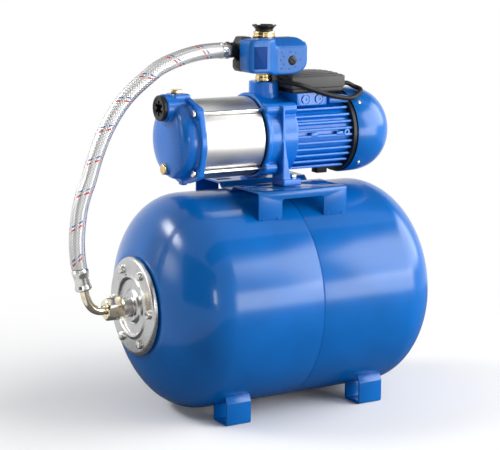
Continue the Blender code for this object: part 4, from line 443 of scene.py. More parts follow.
# By slot: name, colour, pale crests, grain, least and most roughness, depth, specular
DULL_ONES = {
    "black_plastic": ("black_moulding", (0.008, 0.008, 0.009), (0.018, 0.018, 0.019),
                      0.5, 0.30, 0.46, 0.02, 0.28),
    "black_rubber": ("black_rubber_skin", (0.006, 0.006, 0.006), (0.012, 0.012, 0.012),
                     1.1, 0.42, 0.62, 0.03, 0.2),
    "lid_plastic": ("grey_black_lid", (0.066, 0.066, 0.067), (0.090, 0.090, 0.091),
                    0.6, 0.40, 0.50, 0.015, 0.22),
    "pale_mark": ("pale_blue_mark", (0.22, 0.38, 0.62), (0.30, 0.46, 0.70), 0.4, 0.4, 0.5, 0.01),
    "impeller_plastic": ("filled_plastic", (0.060, 0.060, 0.066), (0.10, 0.10, 0.11),
                         0.8, 0.38, 0.52, 0.02),
    "seal_ceramic": ("sintered_ceramic", (0.60, 0.58, 0.53), (0.72, 0.70, 0.66),
                     0.3, 0.22, 0.36, 0.01),
}

LOOKS = {}


def make_looks(colours):
    """Every finish, by its slot in the record or by a name of its own."""
    LOOKS.clear()
    LOOKS.update({
        "blue_enamel": enamel_look(tuple(colours.enamel_colour)),
        "blue_cast_paint": casting_look(tuple(colours.casting_colour)),
        "blue_plastic": moulded_blue_look(tuple(colours.cover_colour)),
        "stainless_steel": polished_sleeve_look(),
        "zinc_plate": zinc_look(),
        "steel": lamination_look(),
        "braided_steel": braid_look(),
        "label_field": moulded_field_look(),
        "copper_wire": winding_look(),
        "circuit_board": board_look(),
    })
    LOOKS.update({slot: bright_metal_look(*row) for slot, row in METALS.items()})
    LOOKS.update({slot: dull_look(*row) for slot, row in DULL_ONES.items()})


# Meshes

def link(item):
    bpy.context.scene.collection.objects.link(item)
    return item


def shade(data, angle=40):
    """Smooth shading that breaks only at edges sharper than the angle."""
    data.shade_smooth()
    data.set_sharp_from_angle(angle=math.radians(angle))
    return data


def mesh_of(shape, angle=40, merge=True):
    if merge:
        bmesh.ops.remove_doubles(shape, verts=shape.verts, dist=1e-3)
    bmesh.ops.recalc_face_normals(shape, faces=shape.faces)
    data = bpy.data.meshes.new("shape")
    shape.to_mesh(data)
    shape.free()
    return shade(data, angle)


def settled(item):
    """The object's mesh with its modifiers applied. The object itself goes."""
    graph = bpy.context.evaluated_depsgraph_get()
    data = bpy.data.meshes.new_from_object(
        item.evaluated_get(graph), preserve_all_data_layers=True, depsgraph=graph)
    bpy.data.objects.remove(item, do_unlink=True)
    return data


def worked(data, *steps):
    """The mesh after these modifiers, each given by its kind and settings."""
    item = link(bpy.data.objects.new("work", data))
    for kind, settings in steps:
        step = item.modifiers.new(kind.lower(), kind)
        for key, value in settings.items():
            setattr(step, key, value)
    return settled(item)


def eased(path, radius, steps=4, closed=False):
    """The path with each corner rounded, less where its sides are short."""
    points = [Vector(point) for point in path]
    count = len(points)
    result = []
    for i, corner in enumerate(points):
        if not closed and i in (0, count - 1):
            result.append(corner)
            continue
        before = points[i - 1] - corner
        after = points[(i + 1) % count] - corner
        if min(before.length, after.length) < 1e-4:
            continue
        angle = before.angle(after)
        if angle > math.radians(176):
            result.append(corner)
            continue
        reach = min(radius / max(math.tan(angle / 2), 1e-3), before.length * 0.46,
                    after.length * 0.46)
        first = corner + before.normalized() * reach
        last = corner + after.normalized() * reach
        for step in range(steps + 1):
            t = step / steps
            result.append(first * (1 - t) ** 2 + corner * 2 * t * (1 - t) + last * t ** 2)
    return [tuple(point) for point in result]


def arc(middle, radius, start, end, steps):
    """Points on an arc, with the angles in degrees."""
    turn = [math.radians(start + (end - start) * i / steps) for i in range(steps + 1)]
    return [(middle[0] + radius * math.cos(t), middle[1] + radius * math.sin(t)) for t in turn]


def slot(middle, length, width, angle=0.0):
    """The outline of a round-ended slot, turned by an angle in degrees."""
    half = (length - width) / 2
    outline = arc((half, 0), width / 2, -90, 90, 12) + arc((-half, 0), width / 2, 90, 270, 12)
    cos, sin = math.cos(math.radians(angle)), math.sin(math.radians(angle))
    return [(middle[0] + x * cos - y * sin, middle[1] + x * sin + y * cos) for x, y in outline]


def dome(start, depth, radius, power, stop_radius, steps):
    """Superellipse points from the full radius at start to the stop radius, going outwards."""
    last = math.acos((stop_radius / radius) ** (power / 2))
    turns = [last * i / steps for i in range(steps + 1)]
    return [(start + depth * math.sin(t) ** (2 / power), radius * math.cos(t) ** (2 / power))
            for t in turns]


def turned(profile, at, axis, steps=96, hollow=False, angle=40):
    """A profile of (along, radius) spun about an axis. A hollow one is a closed loop off it."""
    along = axis.normalized()
    up = X if abs(along.z) > 0.9 else Z
    radial = (up - along * up.dot(along)).normalized()
    points = list(profile)
    if not hollow:
        points = [(points[0][0], 0.0)] + points + [(points[-1][0], 0.0)]
    shape = bmesh.new()
    at = Vector(at)
    corners = [shape.verts.new(at + along * a + radial * r) for a, r in points]
    pairs = list(zip(corners, corners[1:]))
    if hollow:
        pairs.append((corners[-1], corners[0]))
    edges = [shape.edges.new(pair) for pair in pairs if (pair[0].co - pair[1].co).length > 1e-4]
    bmesh.ops.spin(shape, geom=corners + edges, cent=at, axis=along, angle=math.tau, steps=steps,
                   use_merge=True)
    return mesh_of(shape, angle)


def cylinder(at, axis, radius, start, end, steps=64):
    return turned([(start, radius), (end, radius)], at, axis, steps)


def prism(outline, start, end, axis, at=ORIGIN):
    """An outline extruded along X, Y or Z. Its points are the two other coordinates, in order."""
    shape = bmesh.new()
    corners = []
    for first, second in outline:
        place = {0: (start, first, second), 1: (first, start, second), 2: (first, second, start)}
        corners.append(shape.verts.new(Vector(at) + Vector(place[(X, Y, Z).index(axis)])))
    grown = bmesh.ops.extrude_face_region(shape, geom=[shape.faces.new(corners)])["geom"]
    far = [part for part in grown if isinstance(part, bmesh.types.BMVert)]
    bmesh.ops.translate(shape, verts=far, vec=axis * (end - start))
    return mesh_of(shape)


def block(left, right, low, high, start, end, axis, at=ORIGIN, ease=0.0, steps=4):
    """A straight block, with its four long edges rounded."""
    outline = [(left, low), (right, low), (right, high), (left, high)]
    if ease:
        outline = eased(outline, ease, steps, closed=True)
    return prism(outline, start, end, axis, at)


def softened(data, width, segments=3, angle=35):
    """The mesh with its sharp edges rounded, in metres, as the bevel's limits are lengths."""
    data.transform(Matrix.Scale(MM, 4))
    data = worked(data, ("BEVEL", {
        "width": width * MM, "segments": segments, "limit_method": "ANGLE",
        "angle_limit": math.radians(angle), "miter_outer": "MITER_ARC",
    }))
    data.transform(Matrix.Scale(1 / MM, 4))
    return shade(data, 50)


def wedge(outline, start, end, axis, soften=1.2):
    """An outline extruded with softened edges, to be melted into a casting."""
    return softened(prism(outline, start, end, axis), soften, 2)


def merged(parts):
    """Several meshes in one, as separate shells."""
    shape = bmesh.new()
    for part in parts:
        shape.from_mesh(part)
    data = bpy.data.meshes.new("shape")
    shape.to_mesh(data)
    shape.free()
    return data


def boolean(data, operation, tools):
    """One Boolean of a mesh with all of its tools."""
    group = bpy.data.collections.new("tools")
    bpy.context.scene.collection.children.link(group)
    for tool in tools:
        group.objects.link(bpy.data.objects.new("tool", tool))
    result = worked(data, ("BOOLEAN", {
        "operation": operation, "operand_type": "COLLECTION", "collection": group,
        "solver": "MANIFOLD",
    }))
    for item in list(group.objects):
        bpy.data.objects.remove(item, do_unlink=True)
    bpy.data.collections.remove(group)
    return shade(result)


def cut(data, *tools):
    return boolean(data, "DIFFERENCE", tools)


def casting(solids, grain, rounds):
    """Solids melted into one cast body, with a small fillet wherever they meet."""
    data = worked(
        merged(solids),
        ("REMESH", {"mode": "VOXEL", "voxel_size": grain, "use_smooth_shade": True}),
        ("SMOOTH", {"factor": 0.5, "iterations": rounds}),
    )
    return shade(data, 60)


def spun(data, degrees, axis):
    """The mesh turned about a main axis through the origin."""
    data.transform(Matrix.Rotation(math.radians(degrees), 4, axis))
    return data


def moved(data, place):
    data.transform(Matrix.Translation(place))
    return data


def crossed(data):
    """The mesh and a copy of it, turned a quarter about Z."""
    return [data, spun(data.copy(), 90, "Z")]


def hexagon(radius, height, upright=False, washer=0.0):
    """A bolt head on the origin, towards -X or up, with its top corners turned off."""
    head = turned([(0, radius), (height, radius)], ORIGIN, X, 6)
    face = radius * math.cos(math.pi / 6)
    cone = turned([(-1, radius * 1.1), (height - (radius - face) * 1.1, radius * 1.02),
                   (height, face * 0.94)], ORIGIN, X, 48)
    head = softened(boolean(head, "INTERSECT", [cone]), 0.25, 2)
    if washer:
        ring = turned(eased([(0, washer), (1.3, washer)], 0.3), ORIGIN, X, 40)
        head = merged([head, ring])
    return spun(head, -90, "Y") if upright else spun(head, 180, "Z")


def smooth_route(points, spacing):
    """Points about one spacing apart on a smooth curve through the route's own points."""
    knots = [Vector(point) for point in points]
    knots = [knots[0] * 2 - knots[1]] + knots + [knots[-1] * 2 - knots[-2]]
    route = [knots[1]]
    for a, b, c, d in zip(knots, knots[1:], knots[2:], knots[3:]):
        steps = max(1, round((c - b).length / spacing))
        for i in range(1, steps + 1):
            t = i / steps
            route.append(0.5 * (2 * b + (c - a) * t + (2 * a - 5 * b + 4 * c - d) * t ** 2
                                + (3 * b - a - 3 * c + d) * t ** 3))
    return route


def swept(route, radius, sides, layer=None):
    """A round tube along a route, with a UV map of turns round it and metres along it."""
    shape = bmesh.new()
    uv = shape.loops.layers.uv.new(layer) if layer else None
    ends = len(route) - 1
    tangents = [(route[min(i + 1, ends)] - route[max(i - 1, 0)]).normalized()
                for i in range(ends + 1)]
    side = tangents[0].orthogonal().normalized()
    rings = []
    lengths = [0.0]
    for i, (place, tangent) in enumerate(zip(route, tangents)):
        side = (side - tangent * side.dot(tangent)).normalized()
        other = tangent.cross(side)
        turns = [math.tau * k / sides for k in range(sides)]
        rings.append([shape.verts.new(place + (side * math.cos(t) + other * math.sin(t)) * radius)
                      for t in turns])
        if i:
            lengths.append(lengths[-1] + (place - route[i - 1]).length * MM)
    for i, (ring, far) in enumerate(zip(rings, rings[1:])):
        for k in range(sides):
            nxt = (k + 1) % sides
            face = shape.faces.new((ring[k], ring[nxt], far[nxt], far[k]))
            if uv:
                corners = [(k, i), (k + 1, i), (k + 1, i + 1), (k, i + 1)]
                for loop, (turn, step) in zip(face.loops, corners):
                    loop[uv].uv = (turn / sides, lengths[step])
    shape.faces.new(rings[0])
    shape.faces.new(rings[-1])
    return mesh_of(shape, 60, merge=False)


def in_frame(point):
    return tuple((point + SET_SHIFT) * MM)


def piece(name, data, finish, nodes=(), body="set", look=None):
    """A finished mesh as a piece of the set, standing for CAD nodes and riding on a body."""
    data.name = name
    data.transform(Matrix.Scale(MM, 4) @ Matrix.Translation(SET_SHIFT))
    data.materials.clear()
    data.materials.append(LOOKS[look or finish])
    item = link(bpy.data.objects.new(name, data))
    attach(item, body)
    if nodes:
        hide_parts(*nodes)
    return item


# Geometry Nodes for what repeats

class Pattern(NodeTree):
    """A Geometry Nodes tree that places copies of a unit and gives back one mesh."""

    def __init__(self, name, *labels):
        super().__init__(bpy.data.node_groups.new(name, "GeometryNodeTree"))
        self.tree.interface.new_socket(
            "Result", in_out="OUTPUT", socket_type="NodeSocketGeometry")
        self.source = self.tree.nodes.new("NodeGroupInput")
        self.keys = {}
        self.material = self.size("Material", "NodeSocketMaterial")
        self.unit = self.geometry("Unit")
        if labels:
            self.count = self.size("Count", "NodeSocketInt")
            self.middle = self.size("Middle", "NodeSocketVector")
            self.index = self.node("GeometryNodeInputIndex")
            self.sizes = [self.size(label) for label in labels]

    def size(self, label, kind="NodeSocketFloat"):
        made = self.tree.interface.new_socket(label, in_out="INPUT", socket_type=kind)
        self.keys[label] = made.identifier
        return Value(self, self.source.outputs[label])

    def geometry(self, label):
        holder = self.size(label, "NodeSocketObject")
        return self.node("GeometryNodeObjectInfo", {}, {"Object": holder}, "Geometry")

    def counted(self, x, y, z):
        """As many points as the count says, each that far from the middle."""
        place = self.node("ShaderNodeVectorMath", {"operation": "ADD"},
                          [self.middle, self.vector(x, y, z)])
        return self.node("GeometryNodePoints", {}, {"Count": self.count, "Position": place})

    def finish(self, points, **turn):
        """Ends the tree: a copy on each point, made real, with its material."""
        copies = self.node("GeometryNodeInstanceOnPoints", {}, {
            "Points": points, "Instance": self.unit, **turn})
        real = self.node("GeometryNodeRealizeInstances", {}, [copies])
        dressed = self.node("GeometryNodeSetMaterial", {}, {
            "Geometry": real, "Material": self.material})
        self.tree.links.new(dressed.socket, self.tree.nodes.new("NodeGroupOutput").inputs[0])
        return self

    def made(self, unit, finish, **sizes):
        """The pattern's mesh for these sizes, named as its inputs with their spaces left out."""
        part = link(bpy.data.objects.new("unit", unit))
        part.hide_render = True
        holder = link(bpy.data.objects.new("pattern", bpy.data.meshes.new("pattern")))
        step = holder.modifiers.new("pattern", "NODES")
        step.node_group = self.tree
        for label, value in {"Unit": part, "Material": LOOKS[finish], **sizes}.items():
            step[self.keys[label.replace("_", " ")]] = value
        data = settled(holder)
        bpy.data.objects.remove(part, do_unlink=True)
        if not len(data.vertices):
            raise RuntimeError("the pattern of " + finish + " came out empty")
        return shade(data, 45)


def ring_pattern():
    """Copies of a unit round an axis along X. The unit is drawn as it stands at +Y."""
    tree = Pattern("round_an_axis", "Radius", "First Angle")
    radius, first = tree.sizes
    turn = first + tree.index * (math.tau / tree.count)
    points = tree.counted(0.0, turn.sum("COSINE") * radius, turn.sum("SINE") * radius)
    return tree.finish(points, Rotation=tree.vector(turn, 0.0, 0.0))


def row_pattern():
    """Copies of a unit in a straight row, each as wide along Y as a round outline allows."""
    tree = Pattern("fins_in_a_row", "Pitch", "Reach", "Least Reach")
    pitch, reach, least = tree.sizes
    level = (tree.index - (tree.count - 1.0) / 2.0) * pitch
    room = (reach * reach - level * level).sum("MAXIMUM", 0.0) ** 0.5
    width = room.sum("MAXIMUM", least)
    return tree.finish(tree.counted(0.0, 0.0, level), Scale=tree.vector(1.0, width, 1.0))


def crown_pattern():
    """Copies of a unit in a row along Y, raised to follow a crowned lid."""
    tree = Pattern("ribs_on_a_crown", "Span", "Crown")
    span, crown = tree.sizes
    share = (tree.index + 0.5) / tree.count * 2.0 - 1.0
    return tree.finish(tree.counted(0.0, share * span * 0.5, (1.0 - share * share) * crown))


def spots(unit, places, finish):
    """Copies of a unit at given places, from a small mesh of points."""
    tree = Pattern("at_places")
    tree.finish(tree.geometry("Carrier"))
    data = bpy.data.meshes.new("places")
    data.from_pydata([tuple(place) for place in places], [], [])
    holder = link(bpy.data.objects.new("places", data))
    made = tree.made(unit, finish, Carrier=holder)
    bpy.data.objects.remove(holder, do_unlink=True)
    return made


# Sizes and colours that a user would change

def paint(name, description, colour):
    return bpy.props.FloatVectorProperty(
        name=name, description=description, subtype="COLOR", size=3, min=0.0, max=1.0,
        default=colour)


def number(name, description, default, least, most):
    return bpy.props.IntProperty(
        name=name, description=description, default=default, min=least, max=most)


def length(name, description, default, least, most):
    return bpy.props.FloatProperty(
        name=name, description=description, default=default * MM, min=least * MM, max=most * MM,
        unit="LENGTH", precision=4)


class PumpSetColours(bpy.types.PropertyGroup):
    """Paint colours of the set."""

    enamel_colour: paint("Enamel", "Paint of the tank, saddle, feet and fan cover",
                         (0.001, 0.130, 0.480))
    casting_colour: paint("Castings", "Paint of the cast pump ends and the motor",
                          (0.001, 0.165, 0.640))
    cover_colour: paint("Controller cover", "Plastic of the controller's cover",
                        (0.004, 0.125, 0.460))


class PumpSetSizes(bpy.types.PropertyGroup):
    """Sizes and counts of what repeats on the set."""

    motor_fins: number("Motor fins", "Level cooling fins across the motor", 11, 3, 21)
    fin_pitch: length("Fin pitch", "Height from one fin to the next", 11.3, 4, 30)
    fin_thickness: length("Fin thickness", "Thickness of one motor fin", 4.6, 1, 10)
    flange_bolts: number("Flange bolts", "Bolt heads round the tank's flange", 6, 3, 16)
    lid_ribs: number("Lid ribs", "Ribs along the terminal box's lid", 7, 1, 15)
    cap_ribs: number("Valve cap ribs", "Grip ribs round the air valve's cap", 24, 6, 60)
    floor_tone: bpy.props.FloatProperty(
        name="Floor tone", description="How pale the floor is", default=0.92, min=0.0, max=1.0,
        subtype="FACTOR")


class PumpSetOperator:
    """What every operator of the set shares."""

    bl_options = {"REGISTER", "UNDO"}

    def execute(self, context):
        if not LOOKS:
            make_looks(context.scene.pump_set_colours)
        self.build(context.scene.pump_set_sizes)
        return {"FINISHED"}


# Cords

def route_length(route):
    return sum((b - a).length for a, b in zip(route, route[1:])) * MM


class PUMPSET_OT_hose(PumpSetOperator, bpy.types.Operator):
    """Make the braided hose with its two crimped ferrules"""

    bl_idname = "pump_set.hose"
    bl_label = "Braided hose"

    def build(self, sizes):
        up = FERRULE_TOP - FERRULE_FOOT
        high, flare, waist, bore = up.length, 14.4, 12.6, 8.0
        lower = turned(eased([
            (0, bore), (0, flare - 1.6), (1.5, flare), (4.5, flare), (10, waist),
            (high - 15, waist), (high - 8, flare), (high - 4.5, flare + 0.3), (high - 3, 13.2),
            (high, 13.0), (high, bore),
        ], 3.0, 6, closed=True), FERRULE_FOOT, up, 64, hollow=True)
        upper = turned(eased([(0, waist), (5.4, waist), (6.6, flare), (8, flare)], 0.8),
                       (-94.6, 0, PORT_Z), -X, 64)
        ferrules = [piece("crimped_ferrule_lower", lower, "nickel_plate", ["hose_ferrule_lower"]),
                    piece("crimped_ferrule_upper", upper, "nickel_plate", ["hose_ferrule_upper"])]

        start = FERRULE_TOP + up.normalized() * 0.6
        end = Vector((-102.9, 0, PORT_Z))
        run = end - start
        knots = [start] + [start + Vector((run.x * along, 0, run.z * rise))
                           for along, rise in HOSE_PATH]
        knots += [end - X * 13.7, end]
        route = smooth_route(knots, 16)
        hose = piece("braided_hose", swept(smooth_route(knots, 3), HOSE_RADIUS, 48, "hose"),
                     "braided_steel", ["hose"])
        in_frame(start)
        route_length(route)
        [in_frame(point) for point in route]


class PUMPSET_OT_cable(PumpSetOperator, bpy.types.Operator):
    """Make the lead from the controller to the terminal box, with its gland"""

    bl_idname = "pump_set.cable"
    bl_label = "Motor cable and gland"

    def build(self, sizes):
        knots = [Vector(point) for point in CABLE_PATH]
        route = smooth_route(knots, 9)
        cable = piece("motor_lead", swept(smooth_route(knots, 2.5), CABLE_RADIUS, 24),
                      "black_rubber", ["motor_cable"])
        in_frame(knots[0])
        route_length(route)
        [in_frame(point) for point in route]
        at = (113.3, -22, 555.8)
        nut = turned(eased([(0, 8), (6, 8)], 0.6), at, X, 6)
        boot = turned(eased([(5, 7.0), (8, 7.0), (9, 6.0), (10, 6.3), (11, 5.6), (12, 5.9),
                             (14, 5.2)], 0.4), at, X, 40)
        piece("lead_gland", merged([softened(nut, 0.4), boot]), "black_plastic", ["cable_gland"])


# Tank

def drum_tool(start, end):
    """The drum's outer form with its clearance, to trim what is welded to it."""
    wide = TANK_RADIUS + GAP
    narrow = wide - TANK_SEAM_STEP
    step = TANK_SEAM_X + GAP
    return turned([(start, wide), (step, wide), (step, narrow), (end, narrow)],
                  (0, 0, TANK_Z), X, 288)


class PUMPSET_OT_tank(PumpSetOperator, bpy.types.Operator):
    """Make the tank's drum, with its lapped seam"""

    bl_idname = "pump_set.tank"
    bl_label = "Tank"

    def build(self, sizes):
        start = TANK_HALF - TANK_DOME_DEPTH
        left, right, seam = TANK_RADIUS, TANK_RADIUS - TANK_SEAM_STEP, TANK_SEAM_X
        wall, mouth, hole = 2, 55, 6.5

        def end_dome(skin, stop_radius, steps):
            radius = left if stop_radius == TANK_FLAT_RADIUS else right
            return dome(start, TANK_DOME_DEPTH - skin, radius - skin, TANK_DOME_POWER,
                        stop_radius, steps)

        outer = [(-a, r) for a, r in reversed(end_dome(0, TANK_FLAT_RADIUS, 44))]
        flat = outer[0][0]
        outer = [(flat, mouth), (flat, TANK_FLAT_RADIUS - 3)] + outer[1:]
        outer += [(-80, left), (seam - 1.6, left), (seam - 0.5, left - 0.15), (seam, left - 0.7),
                  (seam + 0.3, right - 0.8), (seam + 1.3, right - 0.9), (seam + 2.4, right - 0.3),
                  (seam + 3.8, right), (80, right)]
        outer += end_dome(0, hole, 56)
        inner = end_dome(wall, hole, 16)[::-1]
        inner += [(-a, r) for a, r in end_dome(wall, 95, 14)] + [(flat + wall, mouth)]
        drum = turned(outer + inner, (0, 0, TANK_Z), X, 224, hollow=True, angle=32)
        piece("tank_drum", drum, "blue_enamel", ["tank_shell"])


class PUMPSET_OT_flange(PumpSetOperator, bpy.types.Operator):
    """Make the pressed counter flange with its ring of bolts and its nipple"""

    bl_idname = "pump_set.flange"
    bl_label = "Flange and bolts"

    def build(self, sizes):
        depth, sheet = 11.9, 3.0
        bead, half, rise = 51.0, 5.0, 3.0
        boss, rim, roll = 27.0, 84.1, 7.0
        nipple, bore = 16.6, 12.5
        back, top, low = depth - sheet, depth + rise, depth - rise
        face = depth + 1.6
        profile = [(face + 17, bore), (face + 17, nipple), (face, nipple), (face, boss - 3),
                   (depth, boss), (low, boss + 3), (low, bead - half),
                   (top - rise / 2, bead - half * 0.5), (top, bead),
                   (top - rise / 2, bead + half * 0.5), (depth, bead + half)]
        profile += arc((depth - roll, rim - roll), roll, 0, 90, 8)
        profile += [(3.3, rim), (3.3, rim - 2.4), (back, rim - 2.4), (back, bead + half),
                    (top - sheet, bead), (low - 2.4, bead - half), (low - 2.4, bore)]
        plate = turned(eased(profile, 1.5, closed=True), (FLANGE_X, 0, TANK_Z), -X, 160,
                       hollow=True, angle=50)
        piece("flange_plate", plate, "zinc_plate", ["tank_flange"])
        heads = ring_pattern().made(
            hexagon(7.4, 5.4, washer=7.9), "nickel_plate", Count=sizes.flange_bolts, Radius=67.2,
            First_Angle=0.0, Middle=(FLANGE_X - depth, 0, TANK_Z))
        piece("flange_bolts", heads, "nickel_plate")


class PUMPSET_OT_valve_cap(PumpSetOperator, bpy.types.Operator):
    """Make the cap over the air valve, with its grip ribs"""

    bl_idname = "pump_set.valve_cap"
    bl_label = "Air valve cap"

    def build(self, sizes):
        at = (TANK_HALF + GAP, 0, TANK_Z)
        rim, high = 18.6, 18.0
        cap = turned(eased([
            (15.3, 0.2), (15.3, 9.3), (0.6, 9.3), (0.6, rim - 2), (2.4, rim), (high * 0.55, rim),
            (high, rim * 0.7), (high, 0.2),
        ], 1.2), at, X, 96)
        rib = softened(block(1.5, high * 0.58, -0.7, 0.7, -0.6, 0.4, Y), 0.25, 2)
        ribs = ring_pattern().made(rib, "black_plastic", Count=sizes.cap_ribs, Radius=rim,
                                   First_Angle=0.0, Middle=at)
        piece("valve_cap", merged([cap, ribs]), "black_plastic", ["air_valve_cap"], "valve_cap")


def strip(path, start, end, thickness):
    """A bent strip of sheet: a path in (Y, Z) along X, thick on both sides of the path."""
    shape = bmesh.new()
    corners = [shape.verts.new((start, y, z)) for y, z in path]
    edges = [shape.edges.new(pair) for pair in zip(corners, corners[1:])]
    grown = bmesh.ops.extrude_edge_only(shape, edges=edges)["geom"]
    far = [part for part in grown if isinstance(part, bmesh.types.BMVert)]
    bmesh.ops.translate(shape, verts=far, vec=X * (end - start))
    return worked(mesh_of(shape), ("SOLIDIFY", {
        "thickness": thickness, "offset": 0.0, "use_even_offset": True}))


def welds(name, places):
    """Small flattened welds on a front and a rear sheet, as one piece."""
    made = []
    for front in (-1, 1):
        nub = turned(eased([(-1, 2.6), (0.6, 2.6), (2.2, 1.6)], 0.8), ORIGIN, Y * front, 20)
        made.append(spots(nub, [place for place in places if place[1] * front > 0],
                          "blue_enamel"))
    piece(name, merged(made), "blue_enamel")


class PUMPSET_OT_feet(PumpSetOperator, bpy.types.Operator):
    """Make the four bent feet under the tank"""

    bl_idname = "pump_set.feet"
    bl_label = "Tank feet"

    def build(self, sizes):
        room = drum_tool(-FOOT_MIDDLE_X - FOOT_WIDTH, FOOT_MIDDLE_X + FOOT_WIDTH)
        outer, inner, sheet = 122.0, 77.0, 3.0
        half, side_y = FOOT_WIDTH / 2, outer - sheet / 2
        nubs = []
        for side, front in (("front", -1), ("rear", 1)):
            for end, middle in (("left", -FOOT_MIDDLE_X), ("right", FOOT_MIDDLE_X)):
                path = [(inner, 34), (inner, sheet / 2), (side_y, sheet / 2), (side_y, 39),
                        (outer - 11, 56)]
                path = eased([(front * y, z) for y, z in path], 4, 6)
                foot = strip(path, middle - half, middle + half, sheet)
                hole = prism(slot((middle, front * 99.5), 22, 9), -3, 6, Z)
                foot = softened(cut(foot, room.copy(), hole), 0.5, 2)
                piece(f"bent_foot_{side}_{end}", foot, "blue_enamel", [f"foot_{side}_{end}"])
                nubs += [(middle + step, front * 112.2, 52.0) for step in (-15, 15)]
        welds("foot_welds", nubs)


# Saddle and pump

class PUMPSET_OT_saddle(PumpSetOperator, bpy.types.Operator):
    """Make the pressed saddle that carries the pump, with its slots and the pump's two bolts"""

    bl_idname = "pump_set.saddle"
    bl_label = "Saddle"

    def build(self, sizes):
        left, right, high, deep = SADDLE_LEFT_X, SADDLE_RIGHT_X, SADDLE_TOP_Z, SADDLE_HALF_DEPTH
        sheet, foot, leg = 2.5, 338.0, 45.5
        top = high - sheet / 2
        floor = top - 7.4
        side = deep - sheet / 2
        path = [(-side, foot), (-side, top), (-25, top), (-17, floor), (17, floor), (25, top),
                (side, top), (side, foot)]
        saddle = strip(eased(path, 4, 6), left, right, sheet)
        tools = [drum_tool(2 * left, 2 * right),
                 block(left + leg, right - leg, foot - 20, high - 13.7, -deep * 1.2, deep * 1.2, Y,
                       ease=6, steps=8)]
        for x, y, angle in ((7, 57, 0), (57, 82, 0), (-42.7, 77, 45), (-68.7, 47, 0)):
            for front in (-1, 1):
                outline = slot((x, front * y), 30, 9, front * angle)
                tools.append(prism(outline, floor - 4, high + 3, Z))
        piece("pump_bridge", softened(cut(saddle, *tools), 0.5, 2), "blue_enamel",
              ["pump_saddle"])

        columns = [left + 8, left + leg - 8, right - leg + 8, right - 8]
        welds("saddle_welds", [(x, front * (side + 0.2), 345.5)
                               for front in (-1, 1) for x in columns])

        bolt = merged([
            hexagon(7.5, 5.5, upright=True), cylinder(ORIGIN, Z, 3.8, -18, 1, 24),
            moved(hexagon(7.5, 6.5, upright=True), (0, 0, -21.9)),
            cylinder(ORIGIN, Z, 3.7, -23.0, -16, 24),
        ])
        bolts = spots(bolt, [(7, front * 57, high + 12.1) for front in (-1, 1)], "zinc_plate")
        piece("saddle_bolts", bolts, "zinc_plate", ["saddle_bolt_front", "saddle_bolt_rear"])


def wrapped(parts):
    """The tight convex skin round several solids."""
    shape = bmesh.new()
    for part in parts:
        shape.from_mesh(part)
    hull = bmesh.ops.convex_hull(shape, input=shape.verts)
    spare = {item for key in ("geom_interior", "geom_unused") for item in hull[key]}
    inner = [item for item in spare if isinstance(item, bmesh.types.BMVert) and item.is_valid]
    bmesh.ops.delete(shape, geom=inner, context="VERTS")
    kept = {item for item in hull["geom"] if isinstance(item, bmesh.types.BMFace) and item.is_valid}
    bmesh.ops.delete(shape, geom=[face for face in shape.faces if face not in kept],
                     context="FACES_ONLY")
    return mesh_of(shape)


def at_rods(x, axis, start, end, rows=ROD_PLACES):
    """A round lug for each tie rod."""
    return [cylinder((x, y, PUMP_Z + z), axis, 11, start, end, 40) for y, z in rows]


class PUMPSET_OT_suction_casing(PumpSetOperator, bpy.types.Operator):
    """Cast the suction casing with its boss, pad and lugs"""

    bl_idname = "pump_set.suction_casing"
    bl_label = "Suction casing"

    def build(self, sizes):
        back, rim, flange = CASING_BACK_X, 74, 10
        at, suction = (back, 0, PUMP_Z), (-214, 0, SUCTION_Z)
        profile = [(0, rim), (flange - 1.5, rim), (flange, 72.5), (flange, 69), (flange + 3, 66)]
        profile += dome(flange + 3, 29, 66, 3.3, 2, 30)[1:]
        skin = wrapped([cylinder(at, -X, rim, 0, flange, 144), *at_rods(back, -X, 0, flange)])
        pad = -199.62
        body = casting([
            turned(profile, at, -X, 144), skin, *at_rods(back, -X, 0, flange + 2),
            turned([(0, 23.5), (41, 23.5)], suction, X, 80),
            wedge([(pad, 519.5), (pad + 33, 519.5), (pad + 31, 551), (pad, 551)], -17, 17, Y, 3),
            cylinder((-208, 0, DRAIN_Z), X, 10.5, 0, 30, 48),
            softened(block(-7, 7, 395.5, 412, back - 12, back - 2, X), 1.2, 2),
            prism([(-203, DRAIN_Z - 6), (back - 4, DRAIN_Z - 22), (back - 4, DRAIN_Z + 10),
                   (-203, DRAIN_Z + 4)], -4, 4, Y),
        ], 1.0, 5)
        body = cut(body, cylinder(suction, X, 15.2, -5, 30),
                   cylinder((PRIMING_X, 0, 551), -Z, 6.3, -5, 26, 40),
                   cylinder((-208, 0, DRAIN_Z), X, 5.3, -5, 20, 40))
        piece("cast_suction_end", body, "blue_cast_paint", ["suction_casing"])


